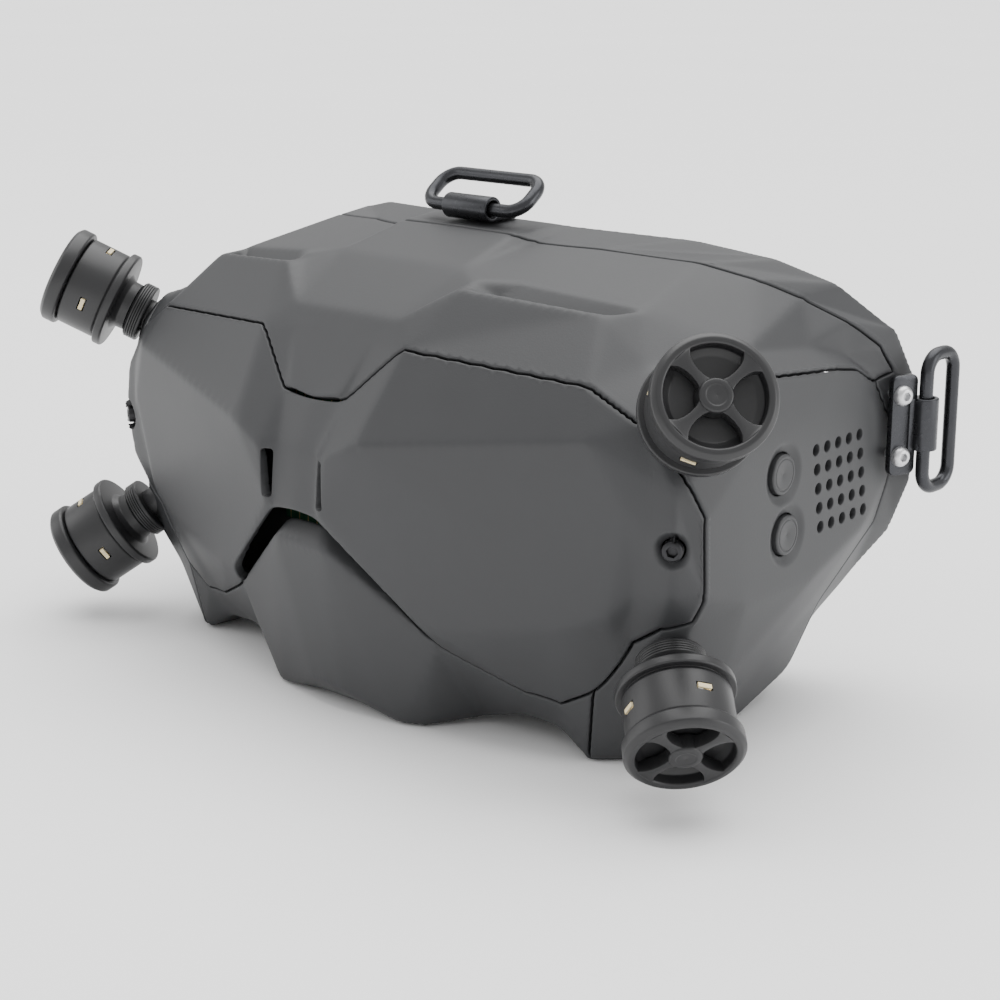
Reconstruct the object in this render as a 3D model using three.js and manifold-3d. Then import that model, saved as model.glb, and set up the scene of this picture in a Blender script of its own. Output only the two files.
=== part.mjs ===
// FPV video goggles: faceted two-eye front cover, brow shell, side covers, chin shell and face frame
// around two sliding eyepieces, with four screw-on antennas and three strap loops.
// Millimetres, +Z up, the front faces -Y, the wearer's left side is +X.
import * as THREE from "three";
import { mergeVertices } from "three/addons/utils/BufferGeometryUtils.js";
import Module from "manifold-3d";

const wasm = await Module();
wasm.setup();

// ---------------------------------------------------------------- sizes
const WALL = 2; // thickness of every moulded shell
const SEAM = 0.44; // air gap between neighbouring shells
const WELD = 0.004; // edges shorter than this are closed up
const SHIFT_Y = -51.65; // moves the whole part so that Y = 0 is near the middle of its depth

const ANTENNA = {
  capR: 12.5, ringR: 10.1, capH: 4.2, hubR: 3.5, spoke: 1.9, bodyR: 11.4, bodyWall: 1.5, bodyH: 10.2,
  flangeR: 12.5, flangeH: 2.6, neckR: 6.2, neckH: 3.4, jackR: 7.4, jackH: 3.6, boreR: 2.4, pinR: 1.5,
};
const ANTENNA_UPPER = { tip: [105, 7.9, 89.1], axis: [0.69, -0.57, 0.44] };
const ANTENNA_LOWER = { tip: [101.5, 5.8, 15.2], axis: [0.62, -0.55, -0.56] };
const LOOP = { length: 34, width: 13.6, rod: 1.55, corner: 4.2 };
const VENT = { rows: 5, across: 4.6, down: 4.45, lean: 0.17, radius: 1.3, y: 62.6, z: 65.8 };
const EYE = { x: 32, z: 58, barrelR: 21.5, lensR: 18.6, slide: 3 };

// ---------------------------------------------------------------- outer skin, right half
// Every name is one corner of the faceted skin. A name ending in 0 lies on the middle plane.
const SKIN = {
  // cover: bridge and notch
  n0: [0, -0.8, 73.8], a: [9.8, -0.2, 74.4], k0: [0, -5.6, 63.4], kc: [6.6, -5.4, 63.2],
  f0: [0, -7.3, 49.2], f: [7, -7, 48.6],
  // cover: eye bulge
  b: [22.8, 5.2, 87], b2: [69, 13.4, 84.4], b3: [80.6, 15.6, 78], b4: [90.8, 18.6, 66.4],
  iu: [10.6, -7.9, 62.8], il: [8.6, -7.9, 50], j: [19.6, -7, 67.4], k: [73.3, 8.4, 74.6],
  kr: [80.6, 11.4, 60.5], rb: [74.6, 11.4, 36.6], rb2: [64.8, 9.2, 32], lb2: [36.7, 1.9, 26.6],
  lb: [30.6, 0.2, 27.8],
  // cover: outer flange
  v1: [84.3, 14.4, 67.5], v2: [84.4, 13.8, 56], v3: [80.5, 14.6, 42], v4: [75.5, 15, 31],
  o1: [89.3, 15.9, 65.8], o2: [89.8, 15.2, 55], o3: [88.6, 16, 42.5],
  r1: [93.2, 21, 59.5], r2: [93, 22, 42.4], r3: [90.4, 21.4, 37], s1: [85, 17.6, 35],
  s2: [78.2, 16.6, 30.6], s3: [74.6, 16.6, 25.2], s4: [68, 16.4, 17.2], s5: [59.4, 15.6, 12.6],
  s6: [52, 14, 13.3], s7: [33, 4.6, 22.6],
  // brow
  c10: [0, 6.4, 87.4], c1: [13, 6.4, 87.6], a1: [8, -0.4, 75], c0: [0, 9.8, 91.8], c: [16.2, 9.6, 91.8],
  d: [28.4, 17.8, 99.4], e: [61.8, 25.6, 96.8], e2: [72.8, 26.4, 87.4], h: [79, 24, 85.2],
  // groove behind the brow and the raised crown
  g1: [32, 23.6, 96.6], g2: [61.5, 31.5, 93.6], w1: [35, 28.6, 99.9], w2: [64, 36, 96.8],
  p0: [0, 27.6, 101.6], p: [20, 27.4, 101.6], pv: [27.6, 22.6, 100.2],
  t0: [0, 46, 107.2], t: [18, 45.6, 107], t2: [21.2, 48.4, 105.2], t3: [36, 54, 104.6],
  t4: [58, 62, 103.0], t5: [68.4, 70, 99.4], t6: [75.4, 77, 95.2], t7: [83, 85, 89.6],
  t8: [87.8, 90.4, 84.2], t9: [89, 94.6, 78],
  y1: [83, 47, 88.6], y2: [82.4, 70, 86], y3: [84, 80.6, 83.2],
  // side cover
  x1: [85.6, 25, 83.4], x2: [89.2, 45, 84.4], x3: [88.4, 73.5, 81.8], x4: [87.6, 83, 80.2],
  x5: [87.4, 89.2, 76.4], z1: [88, 95.6, 66], z2: [87.6, 96.6, 54], z3: [85.8, 93.4, 42],
  z4: [79.8, 82.4, 25], bu: [89.6, 21.6, 79], m1: [92.6, 34, 70], m2: [92.6, 36, 38],
  m3: [90.7, 62, 72], m4: [90.6, 64, 37], m5: [89.2, 84, 70], m6: [89.2, 85, 44],
  bl: [87.2, 18.8, 27.6], m7: [86.4, 36, 18], m8: [82.4, 62, 19], l1: [65, 18.6, 0],
  l2: [76, 30, 0], l3: [74.4, 46, 0], l4: [72.6, 62, 0], l5: [73.4, 79, 6.4], bs: [78.6, 22, 13.4],
  // chin and floor
  ct0: [0, -6.2, 42], ct: [7.9, -6.2, 41.8], cg0: [0, -2.4, 46.2], cg: [6.2, -2.4, 46],
  ch0: [0, 1.6, 5.4], ch: [4.8, 1.8, 5.4], cb0: [0, 7, 1], cb: [8, 7.4, 0.8],
  ck: [20.6, 5.6, 0.4], cl: [25, 8.6, 0], cm: [34, 19, 1.8], cn: [45, 18.6, 5.4], co: [56, 19, 5.2],
  fl0: [0, 30, 2], fa: [30, 36, 5], fc: [62, 46, 0], fb: [45, 42, 7.4], fg: [28, 62, 8], fe: [62, 66, 0],
  fn0: [0, 46, 14], fn: [12, 52, 12],
  // face frame: band and rim
  bn0: [0, 52, 30], bn: [13, 56, 24], bo: [24, 70, 8], bp: [44, 76, 3.4], bq: [62, 80, 3.2],
  q0: [0, 60, 108.2], q1: [20, 61, 107.9], q2: [50, 72, 106.2], q3: [66.6, 80, 102.8],
  q4: [78, 88.4, 97.2], q5: [87, 98.8, 86.4], q6: [89.8, 103.2, 74.8], q7: [90.6, 104, 62],
  q8: [89, 104, 50], q9: [85.4, 102.6, 39], qa: [76.8, 98.4, 26.4], qb: [70, 93, 15],
  qc: [60, 90, 8.4], qd: [45, 85, 5.4], qe: [28, 79, 9.6], qf: [14.6, 66, 26], qg0: [0, 62, 33.4],
  // lip round the face opening
  i0: [0, 56, 99], i1: [19, 58, 98.6], i2: [45, 69, 96.4], i3: [58, 76, 92.6], i4: [67, 83, 87],
  i5: [74, 91, 79], i6: [77.4, 95, 70.6], i7: [78.4, 96.4, 61], i8: [77, 95.4, 51], i9: [73.4, 93.4, 41.6],
  ia: [66.6, 90.4, 32], ib: [60.4, 87, 24.4], ic: [52.6, 84, 19.6], id: [42, 79.6, 17.4],
  ie: [31.4, 74, 21.6], if: [22, 63.6, 36.4], ig0: [0, 59, 44.4],
};

// Facets of each shell, by corner name, right half. A facet that crosses the middle is written once
// and mirrored like the rest.
const FACETS = {
  front_cover: [
    "n0 a kc k0", "k0 kc f f0", "a b j", "a j iu", "a iu kc", "kc iu il f", "b b2 k j", "b2 b3 k",
    "b3 v1 k", "k v1 kr", "v1 v2 kr", "kr v2 v3", "kr v3 rb", "rb v3 v4", "rb v4 rb2",
    "j k kr rb", "j rb rb2", "j rb2 lb2", "j lb2 lb", "j lb il", "j il iu", "b3 b4 o1", "b3 o1 v1",
    "v1 o1 o2 v2", "v2 o2 o3 v3", "b4 r1 o1", "o1 r1 r2", "o1 r2 o2", "o2 r2 o3", "o3 r2 r3",
    "o3 r3 s1", "v3 o3 s1", "v3 s1 s2", "v3 s2 v4", "v4 s2 s3", "v4 s3 s4", "rb2 v4 s4",
    "rb2 s4 s5", "rb2 s5 s6", "lb2 rb2 s6", "lb2 s6 s7", "lb2 s7 lb", "il lb f",
  ],
  top_shell: [
    "n0 a1 c1 c10", "c10 c1 c c0", "a1 a c1", "a b c1", "b c c1", "b d c", "b b2 e d", "b2 b3 e2", "b2 e2 e",
    "b3 h e2", "c0 c p p0", "c d pv", "c pv p", "d g1 pv", "d e g2 g1", "g1 w1 pv", "g1 g2 w2 w1",
    "pv w1 p", "e e2 w2 g2", "p0 p t t0", "p t2 t", "p w1 t3", "p t3 t2", "w1 w2 t4 t3",
    "e2 h y1", "e2 y1 w2", "w2 y1 t5", "w2 t5 t4", "y1 y2 t6", "y1 t6 t5", "y2 y3 t7", "y2 t7 t6",
    "y3 t8 t7", "b3 x1 h", "h x1 x2", "h x2 y1", "y1 x2 x3", "y1 x3 y2", "y2 x3 x4", "y2 x4 y3",
    "y3 x4 x5", "y3 x5 t9", "y3 t9 t8",
  ],
  side_cover: [
    "b3 b4 bu", "b3 bu x1", "x1 bu m1", "b4 m1 bu", "x1 m1 x2", "b4 r1 m1", "r1 m2 m1", "r1 r2 m2",
    "x2 m1 m3", "x2 m3 x3", "x3 m3 x4", "x4 m3 m5", "x4 m5 x5", "x5 m5 z1", "m5 m6 z2", "m5 z2 z1",
    "m6 z3 z2", "m1 m2 m4 m3", "m3 m4 m6 m5", "m6 m8 z3", "z3 m8 z4", "m4 m8 m6", "m4 m7 m8",
    "m2 m7 m4", "r2 r3 m2", "r3 bl m2", "r3 s1 bl", "s1 s2 bl", "s2 s3 bl", "bl m7 m2", "s3 bs bl",
    "s3 s4 bs", "bl bs m7", "s4 l1 bs", "bs l1 l2", "bs l2 m7", "m7 l2 l3", "m7 l3 m8", "m8 l3 l4",
    "m8 l4 l5", "m8 l5 z4",
  ],
  lower_shell: [
    "cg0 cg ct ct0", "ct0 ct ch ch0", "ch0 ch cb cb0", "cg s7 ct", "ct s7 ck", "ct ck ch", "ch ck cb",
    "s7 cl ck", "s7 s6 cm", "s7 cm cl", "s6 cn cm", "s6 s5 cn", "s5 co cn", "s5 s4 l1", "s5 l1 co",
    "cb0 cb fl0", "cb fa fl0", "cb ck cl", "cb cl fa", "cl cm fa", "cm cn fb", "cm fb fa", "cn co fb",
    "co l1 fc", "co fc fb", "l1 l2 fc", "l2 l3 fc", "l3 l4 fe", "l3 fe fc", "fb fc fe", "fa fb fg",
    "fb fe fg", "fl0 fa fn0", "fa fn fn0", "fa fg fn", "fn0 fn bn bn0", "fn fg bo bn", "fg fe bp bo",
    "fe bq bp", "fe l4 bq", "l4 l5 bq",
  ],
  face_frame: [
    "t0 t q1 q0", "t t2 q1", "t2 t3 q2 q1", "t3 t4 q3 q2", "t4 t5 q4 q3", "t5 t6 q4", "t6 t7 q5 q4",
    "t7 t8 q5", "t8 t9 q6 q5", "t9 x5 z1 q7", "t9 q7 q6", "z1 z2 q8 q7", "z2 z3 q9 q8", "z3 z4 qa q9",
    "z4 l5 qb qa", "l5 bq qc qb", "bq bp qd qc", "bp bo qe qd", "bo bn qf qe", "bn bn0 qg0 qf",
    "q0 q1 i1 i0", "q1 q2 i2 i1", "q2 q3 i3 i2", "q3 q4 i4 i3", "q4 q5 i5 i4", "q5 q6 i6 i5",
    "q6 q7 i7 i6", "q7 q8 i8 i7", "q8 q9 i9 i8", "q9 qa ia i9", "qa qb ib ia", "qb qc ic ib",
    "qc qd id ic", "qd qe ie id", "qe qf if ie", "qf qg0 ig0 if",
  ],
};

// ---------------------------------------------------------------- solids
const V = (x, y, z) => new THREE.Vector3(x, y, z);
const vec = (p) => new THREE.Vector3(...p);

/** A closed geometry as a solid that can be added to or cut. */
function solid(geometry) {
  const g = (geometry.index ? geometry.toNonIndexed() : geometry).clone();
  g.deleteAttribute("normal");
  g.deleteAttribute("uv");
  const m = mergeVertices(g, 1e-4);
  const mesh = new wasm.Mesh({
    numProp: 3,
    vertProperties: new Float32Array(m.attributes.position.array),
    triVerts: new Uint32Array(m.index.array),
  });
  return new wasm.Manifold(mesh);
}

/** Closes up the edges of a mesh that are shorter than a weld, and drops the facets that vanish. */
function weld(points, triVerts) {
  const home = points.map((_, i) => i);
  const root = (i) => (home[i] === i ? i : (home[i] = root(home[i])));
  for (let i = 0; i < triVerts.length; i += 3)
    for (let k = 0; k < 3; k++) {
      const [a, b] = [triVerts[i + k], triVerts[i + ((k + 1) % 3)]];
      if (points[a].distanceTo(points[b]) < WELD) home[root(a)] = root(b);
    }
  const facets = new Map();
  for (let i = 0; i < triVerts.length; i += 3) {
    const tri = [0, 1, 2].map((k) => root(triVerts[i + k]));
    if (new Set(tri).size < 3) continue;
    const key = [...tri].sort((a, b) => a - b).join("|");
    if (facets.has(key)) facets.delete(key);
    else facets.set(key, tri);
  }
  return [...facets.values()].flat().map((i) => points[i]);
}

/** The geometry of a solid. */
function geometryOf(made) {
  const m = made.getMesh();
  const points = Array.from({ length: m.numVert }, (_, i) => V(
    ...m.vertProperties.subarray(i * m.numProp, i * m.numProp + 3)));
  const g = new THREE.BufferGeometry().setFromPoints(weld(points, m.triVerts));
  g.computeVertexNormals();
  return g;
}

const join = (...geometries) => geometryOf(geometries.map(solid).reduce((a, b) => a.add(b)));
const cut = (body, ...tools) => geometryOf(tools.map(solid).reduce((a, b) => a.subtract(b), solid(body)));

/** Turns geometry built along +Z onto an axis and moves it to a point. */
function place(geometry, point, axis = V(0, 0, 1), roll = 0) {
  const turn = new THREE.Quaternion().setFromUnitVectors(V(0, 0, 1), axis.clone().normalize());
  const spin = new THREE.Matrix4().makeRotationZ(roll);
  return geometry
    .applyMatrix4(spin)
    .applyMatrix4(new THREE.Matrix4().compose(point, turn, V(1, 1, 1)));
}

/** A disc, cone or rod standing on Z = 0. */
function rod(radius, height, sides = 24, topRadius = radius) {
  return new THREE.CylinderGeometry(topRadius, radius, height, sides)
    .rotateX(Math.PI / 2)
    .translate(0, 0, height / 2);
}

const box = (w, d, h, x = 0, y = 0, z = 0) => new THREE.BoxGeometry(w, d, h).translate(x, y, z);

/** A body turned round Z from [radius, height] pairs that start and end on the axis or close. */
function turned(profile, sides = 28) {
  const points = profile.map(([r, z]) => new THREE.Vector2(r, z));
  return new THREE.LatheGeometry(points, sides).rotateX(Math.PI / 2);
}

/** A ring of rectangular section, standing on Z = 0. */
function tube(outer, inner, height, sides = 28) {
  const bore = rod(inner, height + 2, sides).translate(0, 0, -1);
  return cut(rod(outer, height, sides), bore);
}

/** A rounded rectangle as a shape, centred. */
function roundedRect(w, h, r) {
  const s = new THREE.Shape();
  s.moveTo(-w / 2 + r, -h / 2);
  s.lineTo(w / 2 - r, -h / 2);
  s.absarc(w / 2 - r, -h / 2 + r, r, -Math.PI / 2, 0, false);
  s.lineTo(w / 2, h / 2 - r);
  s.absarc(w / 2 - r, h / 2 - r, r, 0, Math.PI / 2, false);
  s.lineTo(-w / 2 + r, h / 2);
  s.absarc(-w / 2 + r, h / 2 - r, r, Math.PI / 2, Math.PI, false);
  s.lineTo(-w / 2, -h / 2 + r);
  s.absarc(-w / 2 + r, -h / 2 + r, r, Math.PI, Math.PI * 1.5, false);
  return s;
}

const slab = (shape, depth, segments = 4) =>
  new THREE.ExtrudeGeometry(shape, { depth, bevelEnabled: false, curveSegments: segments });

// ---------------------------------------------------------------- shell maker
const twin = (name) => (name.endsWith("0") ? name : name + "~");
const pointOf = (name) => {
  const p = SKIN[name.replace("~", "")];
  return V(name.endsWith("~") ? -p[0] : p[0], p[1], p[2]);
};

/** Splits the facets of every shell into triangles on both sides, all wound outwards. */
function skinTriangles(facets) {
  const out = [];
  for (const [part, list] of Object.entries(facets))
    for (const facet of list) {
      const names = facet.split(" ");
      for (const side of [names, names.map(twin)])
        for (let i = 1; i < side.length - 1; i++) {
          const tri = [side[0], side[i], side[i + 1]];
          if (side !== names && tri.every((n) => n.endsWith("0"))) continue;
          out.push({ part, tri, right: side === names });
        }
    }
  const edge = new Map();
  out.forEach((t, i) =>
    t.tri.forEach((a, k) => {
      const key = [a, t.tri[(k + 1) % 3]].sort().join("|");
      edge.set(key, [...(edge.get(key) ?? []), i]);
    }),
  );
  const seen = new Set();
  const runs = (t, a, b) => t.tri[(t.tri.indexOf(a) + 1) % 3] === b;
  for (let seed = 0; seed < out.length; seed++) {
    if (seen.has(seed)) continue;
    const queue = [seed], group = [];
    seen.add(seed);
    while (queue.length) {
      const i = queue.pop();
      group.push(i);
      out[i].tri.forEach((a, k) => {
        const b = out[i].tri[(k + 1) % 3];
        for (const j of edge.get([a, b].sort().join("|"))) {
          if (seen.has(j)) continue;
          seen.add(j);
          if (runs(out[j], a, b)) out[j].tri.reverse();
          queue.push(j);
        }
      });
    }
    const middle = V(0, 46, 52);
    const score = group.reduce((sum, i) => {
      const [a, b, c] = out[i].tri.map(pointOf);
      const n = b.clone().sub(a).cross(c.clone().sub(a));
      return sum + n.dot(a.clone().add(b).add(c).divideScalar(3).sub(middle));
    }, 0);
    if (score < 0) group.forEach((i) => out[i].tri.reverse());
  }
  return out;
}

/** The move from each corner of the skin to the inner face of a wall of this thickness. */
function insetMoves(triangles, thickness) {
  const sums = new Map();
  for (const { tri } of triangles) {
    const [a, b, c] = tri.map(pointOf);
    const n = b.clone().sub(a).cross(c.clone().sub(a)).normalize();
    tri.forEach((name, k) => {
      const p = [a, b, c];
      const w = p[(k + 1) % 3].clone().sub(p[k]).angleTo(p[(k + 2) % 3].clone().sub(p[k]));
      if (!sums.has(name)) sums.set(name, { m: [0, 0, 0, 0, 0, 0, 0, 0, 0], r: V(0, 0, 0), w: 0 });
      const s = sums.get(name);
      const e = n.toArray();
      for (let i = 0; i < 3; i++) for (let j = 0; j < 3; j++) s.m[i * 3 + j] += w * e[i] * e[j];
      s.r.addScaledVector(n, -thickness * w);
      s.w += w;
    });
  }
  const moves = new Map();
  for (const [name, s] of sums) {
    for (let i = 0; i < 3; i++) s.m[i * 4] += 0.06 * s.w;
    const move = s.r.applyMatrix3(new THREE.Matrix3().set(...s.m).invert());
    if (move.length() > 1.7 * thickness) move.setLength(1.7 * thickness);
    moves.set(name, move);
  }
  return moves;
}

/** One shell as a closed wall: outer facets, inner facets, and an edge all round its border. */
function shell(triangles, moves, gap = SEAM) {
  const count = new Map();
  const keyOf = (a, b) => [a, b].sort().join("|");
  for (const { tri } of triangles)
    tri.forEach((a, k) => {
      const key = keyOf(a, tri[(k + 1) % 3]);
      count.set(key, (count.get(key) ?? 0) + 1);
    });
  const pulls = new Map();
  const borders = [];
  for (const { tri } of triangles) {
    const [a, b, c] = tri.map(pointOf);
    const n = b.clone().sub(a).cross(c.clone().sub(a)).normalize();
    tri.forEach((from, k) => {
      const to = tri[(k + 1) % 3];
      if (count.get(keyOf(from, to)) > 1) return;
      borders.push([from, to]);
      const inward = n.clone().cross(pointOf(to).sub(pointOf(from)).normalize());
      for (const name of [from, to]) pulls.set(name, [...(pulls.get(name) ?? []), inward]);
    });
  }
  const outer = new Map(), inner = new Map();
  for (const name of new Set(triangles.flatMap((t) => t.tri))) {
    const p = pointOf(name);
    const pull = pulls.get(name);
    if (pull) {
      const mean = pull.reduce((s, v) => s.add(v), V(0, 0, 0)).normalize();
      p.addScaledVector(mean, gap / 2 / Math.max(0.4, mean.dot(pull[0])));
    }
    outer.set(name, p);
    inner.set(name, p.clone().add(moves.get(name)));
  }
  const points = [];
  const add = (...list) => list.forEach((p) => points.push(...p.toArray()));
  for (const { tri } of triangles) {
    add(...tri.map((n) => outer.get(n)));
    add(...[...tri].reverse().map((n) => inner.get(n)));
  }
  for (const [a, b] of borders) {
    add(outer.get(b), outer.get(a), inner.get(a));
    add(outer.get(b), inner.get(a), inner.get(b));
  }
  const g = new THREE.BufferGeometry();
  g.setAttribute("position", new THREE.Float32BufferAttribute(points, 3));
  g.computeVertexNormals();
  return g;
}

const triangles = skinTriangles(FACETS);
const moves = insetMoves(triangles, WALL);
const shellOf = (part, side = null) =>
  shell(triangles.filter((t) => t.part === part && (side === null || t.right === side)), moves);

// ---------------------------------------------------------------- pieces
const group = new THREE.Group();
group.name = "fpv_goggles";
const inside = new THREE.Group();
inside.position.set(0, SHIFT_Y, 0);
group.add(inside);

/** Adds one named piece with its own material. */
function piece(name, geometry, color, metalness = 0, roughness = 0.7) {
  const material = new THREE.MeshStandardMaterial({ color, metalness, roughness });
  const mesh = new THREE.Mesh(geometry, material);
  mesh.name = name;
  inside.add(mesh);
  return mesh;
}

const CHARCOAL = 0x3a3b3d, BLACK = 0x1b1b1d, GUNMETAL = 0x4a4b4e, STEEL = 0xb9bbbd;
const SIDES = [["right", 1], ["left", -1]];
const mirrored = (p, sign) => V(p[0] * sign, p[1], p[2]);

// Where each antenna stands: the middle of its cap's front face and the way it points.
const ANTENNAS = SIDES.flatMap(([side, sign]) => [
  ["upper_" + side, mirrored(ANTENNA_UPPER.tip, sign), mirrored(ANTENNA_UPPER.axis, sign).normalize()],
  ["lower_" + side, mirrored(ANTENNA_LOWER.tip, sign), mirrored(ANTENNA_LOWER.axis, sign).normalize()],
]);
const A = ANTENNA;
const STACK = A.capH + A.bodyH + A.flangeH; // cap face to the back of the flange

/** Clears a round hole along every antenna's axis, so that its jack passes the shells. */
function antennaHoles() {
  return ANTENNAS.map(([, tip, axis]) =>
    place(rod(A.jackR + 0.5, 16, 16).translate(0, 0, -STACK - A.neckH - 16.2), tip.clone(), axis));
}

/** Keeps the skirt round each antenna's jack clear of the shells. */
function antennaFaces() {
  return ANTENNAS.map(([, tip, axis]) =>
    place(rod(A.jackR + 0.6, 9, 16).translate(0, 0, -STACK - A.neckH - 0.3), tip.clone(), axis));
}

/** Opens the sliver of each side cover that the upper antenna hole would cut loose. */
const cornerReliefs = () => SIDES.map(([, sign]) => box(4.8, 4.8, 6, sign * 81.2, 17, 77));

const COVER_SCREW = { at: [89.4, 15.2, 53.2], axis: [0.5, -0.866, 0] };
function coverScrewTools(radius, depth, lift) {
  return SIDES.map(([, sign]) => {
    const axis = mirrored(COVER_SCREW.axis, sign).normalize();
    return place(rod(radius, depth, 10).translate(0, 0, lift), mirrored(COVER_SCREW.at, sign), axis);
  });
}

/** Front cover: both eye bulges, the bridge with its two air slots, and the screw recesses. */
function frontCover() {
  const slots = SIDES.map(([, sign]) => box(2.6, 9, 11, sign * 8.7, -7, 56.4));
  piece("front_cover", cut(shellOf("front_cover"), ...slots, ...antennaHoles(), ...antennaFaces(),
    ...coverScrewTools(3.1, 6, -1.6), ...coverScrewTools(1.25, 12, -8)), CHARCOAL);
}

/** Brow and crown shell over the eyes. */
function topShell() {
  piece("top_shell", cut(shellOf("top_shell"), ...antennaHoles(), ...antennaFaces()), CHARCOAL);
}

const IPD = { x: 33, y: 46, slotW: 12, slotD: 4.4 };
/** Chin, floor and nose relief, with one slot for each eyepiece slider. */
function lowerShell() {
  const slots = SIDES.map(([, sign]) => box(IPD.slotW, IPD.slotD, 20, sign * IPD.x, IPD.y, 4));
  piece("lower_shell", cut(shellOf("lower_shell"), ...slots, ...antennaHoles(), ...antennaFaces()),
    CHARCOAL);
}

// The flat field of each side cover leans inwards to the back.
const SIDE_LEAN = 0.07;
const SIDE_N = V(1, SIDE_LEAN, 0).normalize();
const sidePoint = (y, z) => V(92.6 - (y - 35) * SIDE_LEAN, y, z);
const BUTTONS = { up: [49.8, 63], down: [52, 49.2], r: 4.4 };

/** The right side cover: air outlet of 5 x 5 holes and two dished button wells. */
function sideCoverRight() {
  const X = SIDE_N;
  const tools = [];
  for (let i = 0; i < VENT.rows; i++)
    for (let j = 0; j < VENT.rows; j++) {
      const drop = j * VENT.down;
      tools.push(place(rod(VENT.radius, 10, 6).translate(0, 0, -5),
        sidePoint(VENT.y + i * VENT.across + drop * VENT.lean, VENT.z - drop), X));
    }
  for (const key of ["up", "down"]) {
    const at = sidePoint(...BUTTONS[key]);
    tools.push(place(rod(BUTTONS.r + 0.4, 14, 16).translate(0, 0, -7), at, X));
    tools.push(place(rod(BUTTONS.r + 0.6, 2.4, 16, BUTTONS.r + 2.6).translate(0, 0, -1), at, X));
  }
  piece("side_cover_right", cut(shellOf("side_cover", true), ...tools, ...antennaHoles(),
    ...antennaFaces(), ...bracketScrewHoles(), ...cornerReliefs()), CHARCOAL);
}

const LEFT = { joy: [54, 58], back: [68, 62], rec: [68, 50] };
const SOCKETS = { at: V(-87.5, 58, 30), out: V(-0.916, 0, -0.4), tall: 7.8, long: 16.2, proud: 0.6 };
/** The left side cover: five-way button, back and record buttons, and the socket block. */
function sideCoverLeft() {
  const X = V(-1, 0, 0);
  const at = (key) => sidePoint(...LEFT[key]).multiply(V(-1, 1, 1));
  const tools = [
    place(rod(5.4, 14, 20).translate(0, 0, -7), at("joy"), X),
    place(rod(3.35, 14, 16).translate(0, 0, -7), at("back"), X),
    place(rod(3.35, 14, 16).translate(0, 0, -7), at("rec"), X),
    place(box(SOCKETS.tall + 0.8, SOCKETS.long + 0.8, 16), SOCKETS.at, SOCKETS.out),
  ];
  piece("side_cover_left", cut(shellOf("side_cover", false), ...tools, ...antennaHoles(),
    ...antennaFaces(), ...bracketScrewHoles(), ...cornerReliefs()), CHARCOAL);
}

/** Face frame: the flared rim and its inward lip. */
function faceFrame() {
  piece("face_frame", cut(shellOf("face_frame"), ...bracketScrewHoles()), CHARCOAL);
}

const RING = ["0", "1", "2", "3", "4", "5", "6", "7", "8", "9", "a", "b", "c", "d", "e", "f", "g0"];
/** Names of a ring of corners, once round: right side down, then the left side back up. */
function ringNames(letter) {
  const right = RING.map((k) => letter + k);
  return [...right, ...right.slice(1, -1).reverse().map(twin)];
}

/** A closed band of four-sided section through four rings of points. */
function band(a, b, c, d) {
  const n = a.length, rings = [a, b, c, d], points = [];
  for (let i = 0; i < n; i++)
    for (let k = 0; k < 4; k++) {
      const p = rings[k][i], q = rings[(k + 1) % 4][i];
      const r = rings[(k + 1) % 4][(i + 1) % n], s = rings[k][(i + 1) % n];
      for (const v of [p, q, r, p, r, s]) points.push(...v.toArray());
    }
  const g = new THREE.BufferGeometry();
  g.setAttribute("position", new THREE.Float32BufferAttribute(points, 3));
  g.computeVertexNormals();
  return g;
}

const mix = (a, b, t) => a.clone().lerp(b, t);
/** Foam pad on the lip of the face frame. */
function faceFoam() {
  const q = ringNames("q").map(pointOf), i = ringNames("i").map(pointOf);
  const out = (p, lift) => p.clone().add(V(0, lift, 0));
  const slope = (k) => (Math.abs(q[k].x) > 60 ? V(-Math.sign(q[k].x) * 3, 0, 0) : V(0, 0, 0));
  const low = q.map((p, k) => out(mix(p, i[k], 0.1), 1));
  const lowIn = q.map((p, k) => out(mix(p, i[k], 0.92), 1));
  const topIn = q.map((p, k) => out(mix(p, i[k], 0.8), 8.5).add(slope(k)));
  const top = q.map((p, k) => out(mix(p, i[k], 0.26), 8.5).add(slope(k)));
  piece("face_foam", band(low, lowIn, topIn, top), 0x17171a, 0, 0.95);
}

const PLATE = {
  p0: [0, 52, 92], p1: [17, 52, 91.6], p2: [42, 52, 89.6], p3: [51, 53, 86], p4: [57.4, 54, 80.6],
  p5: [61.4, 54.6, 74.6], p6: [63.4, 55, 68.4], p7: [64, 55, 60.4], p8: [63, 54.6, 51],
  p9: [60.6, 54, 42.6], pa: [57, 53, 36.4], pb: [53, 52.6, 32.4], pc: [46.6, 52, 30], pd: [39, 52, 29.6],
  pe: [31.4, 52, 30.6], pf: [18.6, 52, 37.4], pg0: [0, 52, 50],
};
/** The oval window that lets a barrel slide sideways through the plate. */
function barrelWindow(sign) {
  const reach = EYE.slide + 0.2, r = EYE.barrelR + 0.5;
  const oval = new THREE.Shape();
  oval.absarc(reach, 0, r, -Math.PI / 2, Math.PI / 2, false);
  oval.absarc(-reach, 0, r, Math.PI / 2, Math.PI * 1.5, false);
  return slab(oval, 20, 7).rotateX(Math.PI / 2).translate(sign * EYE.x, 60, EYE.z);
}

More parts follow.
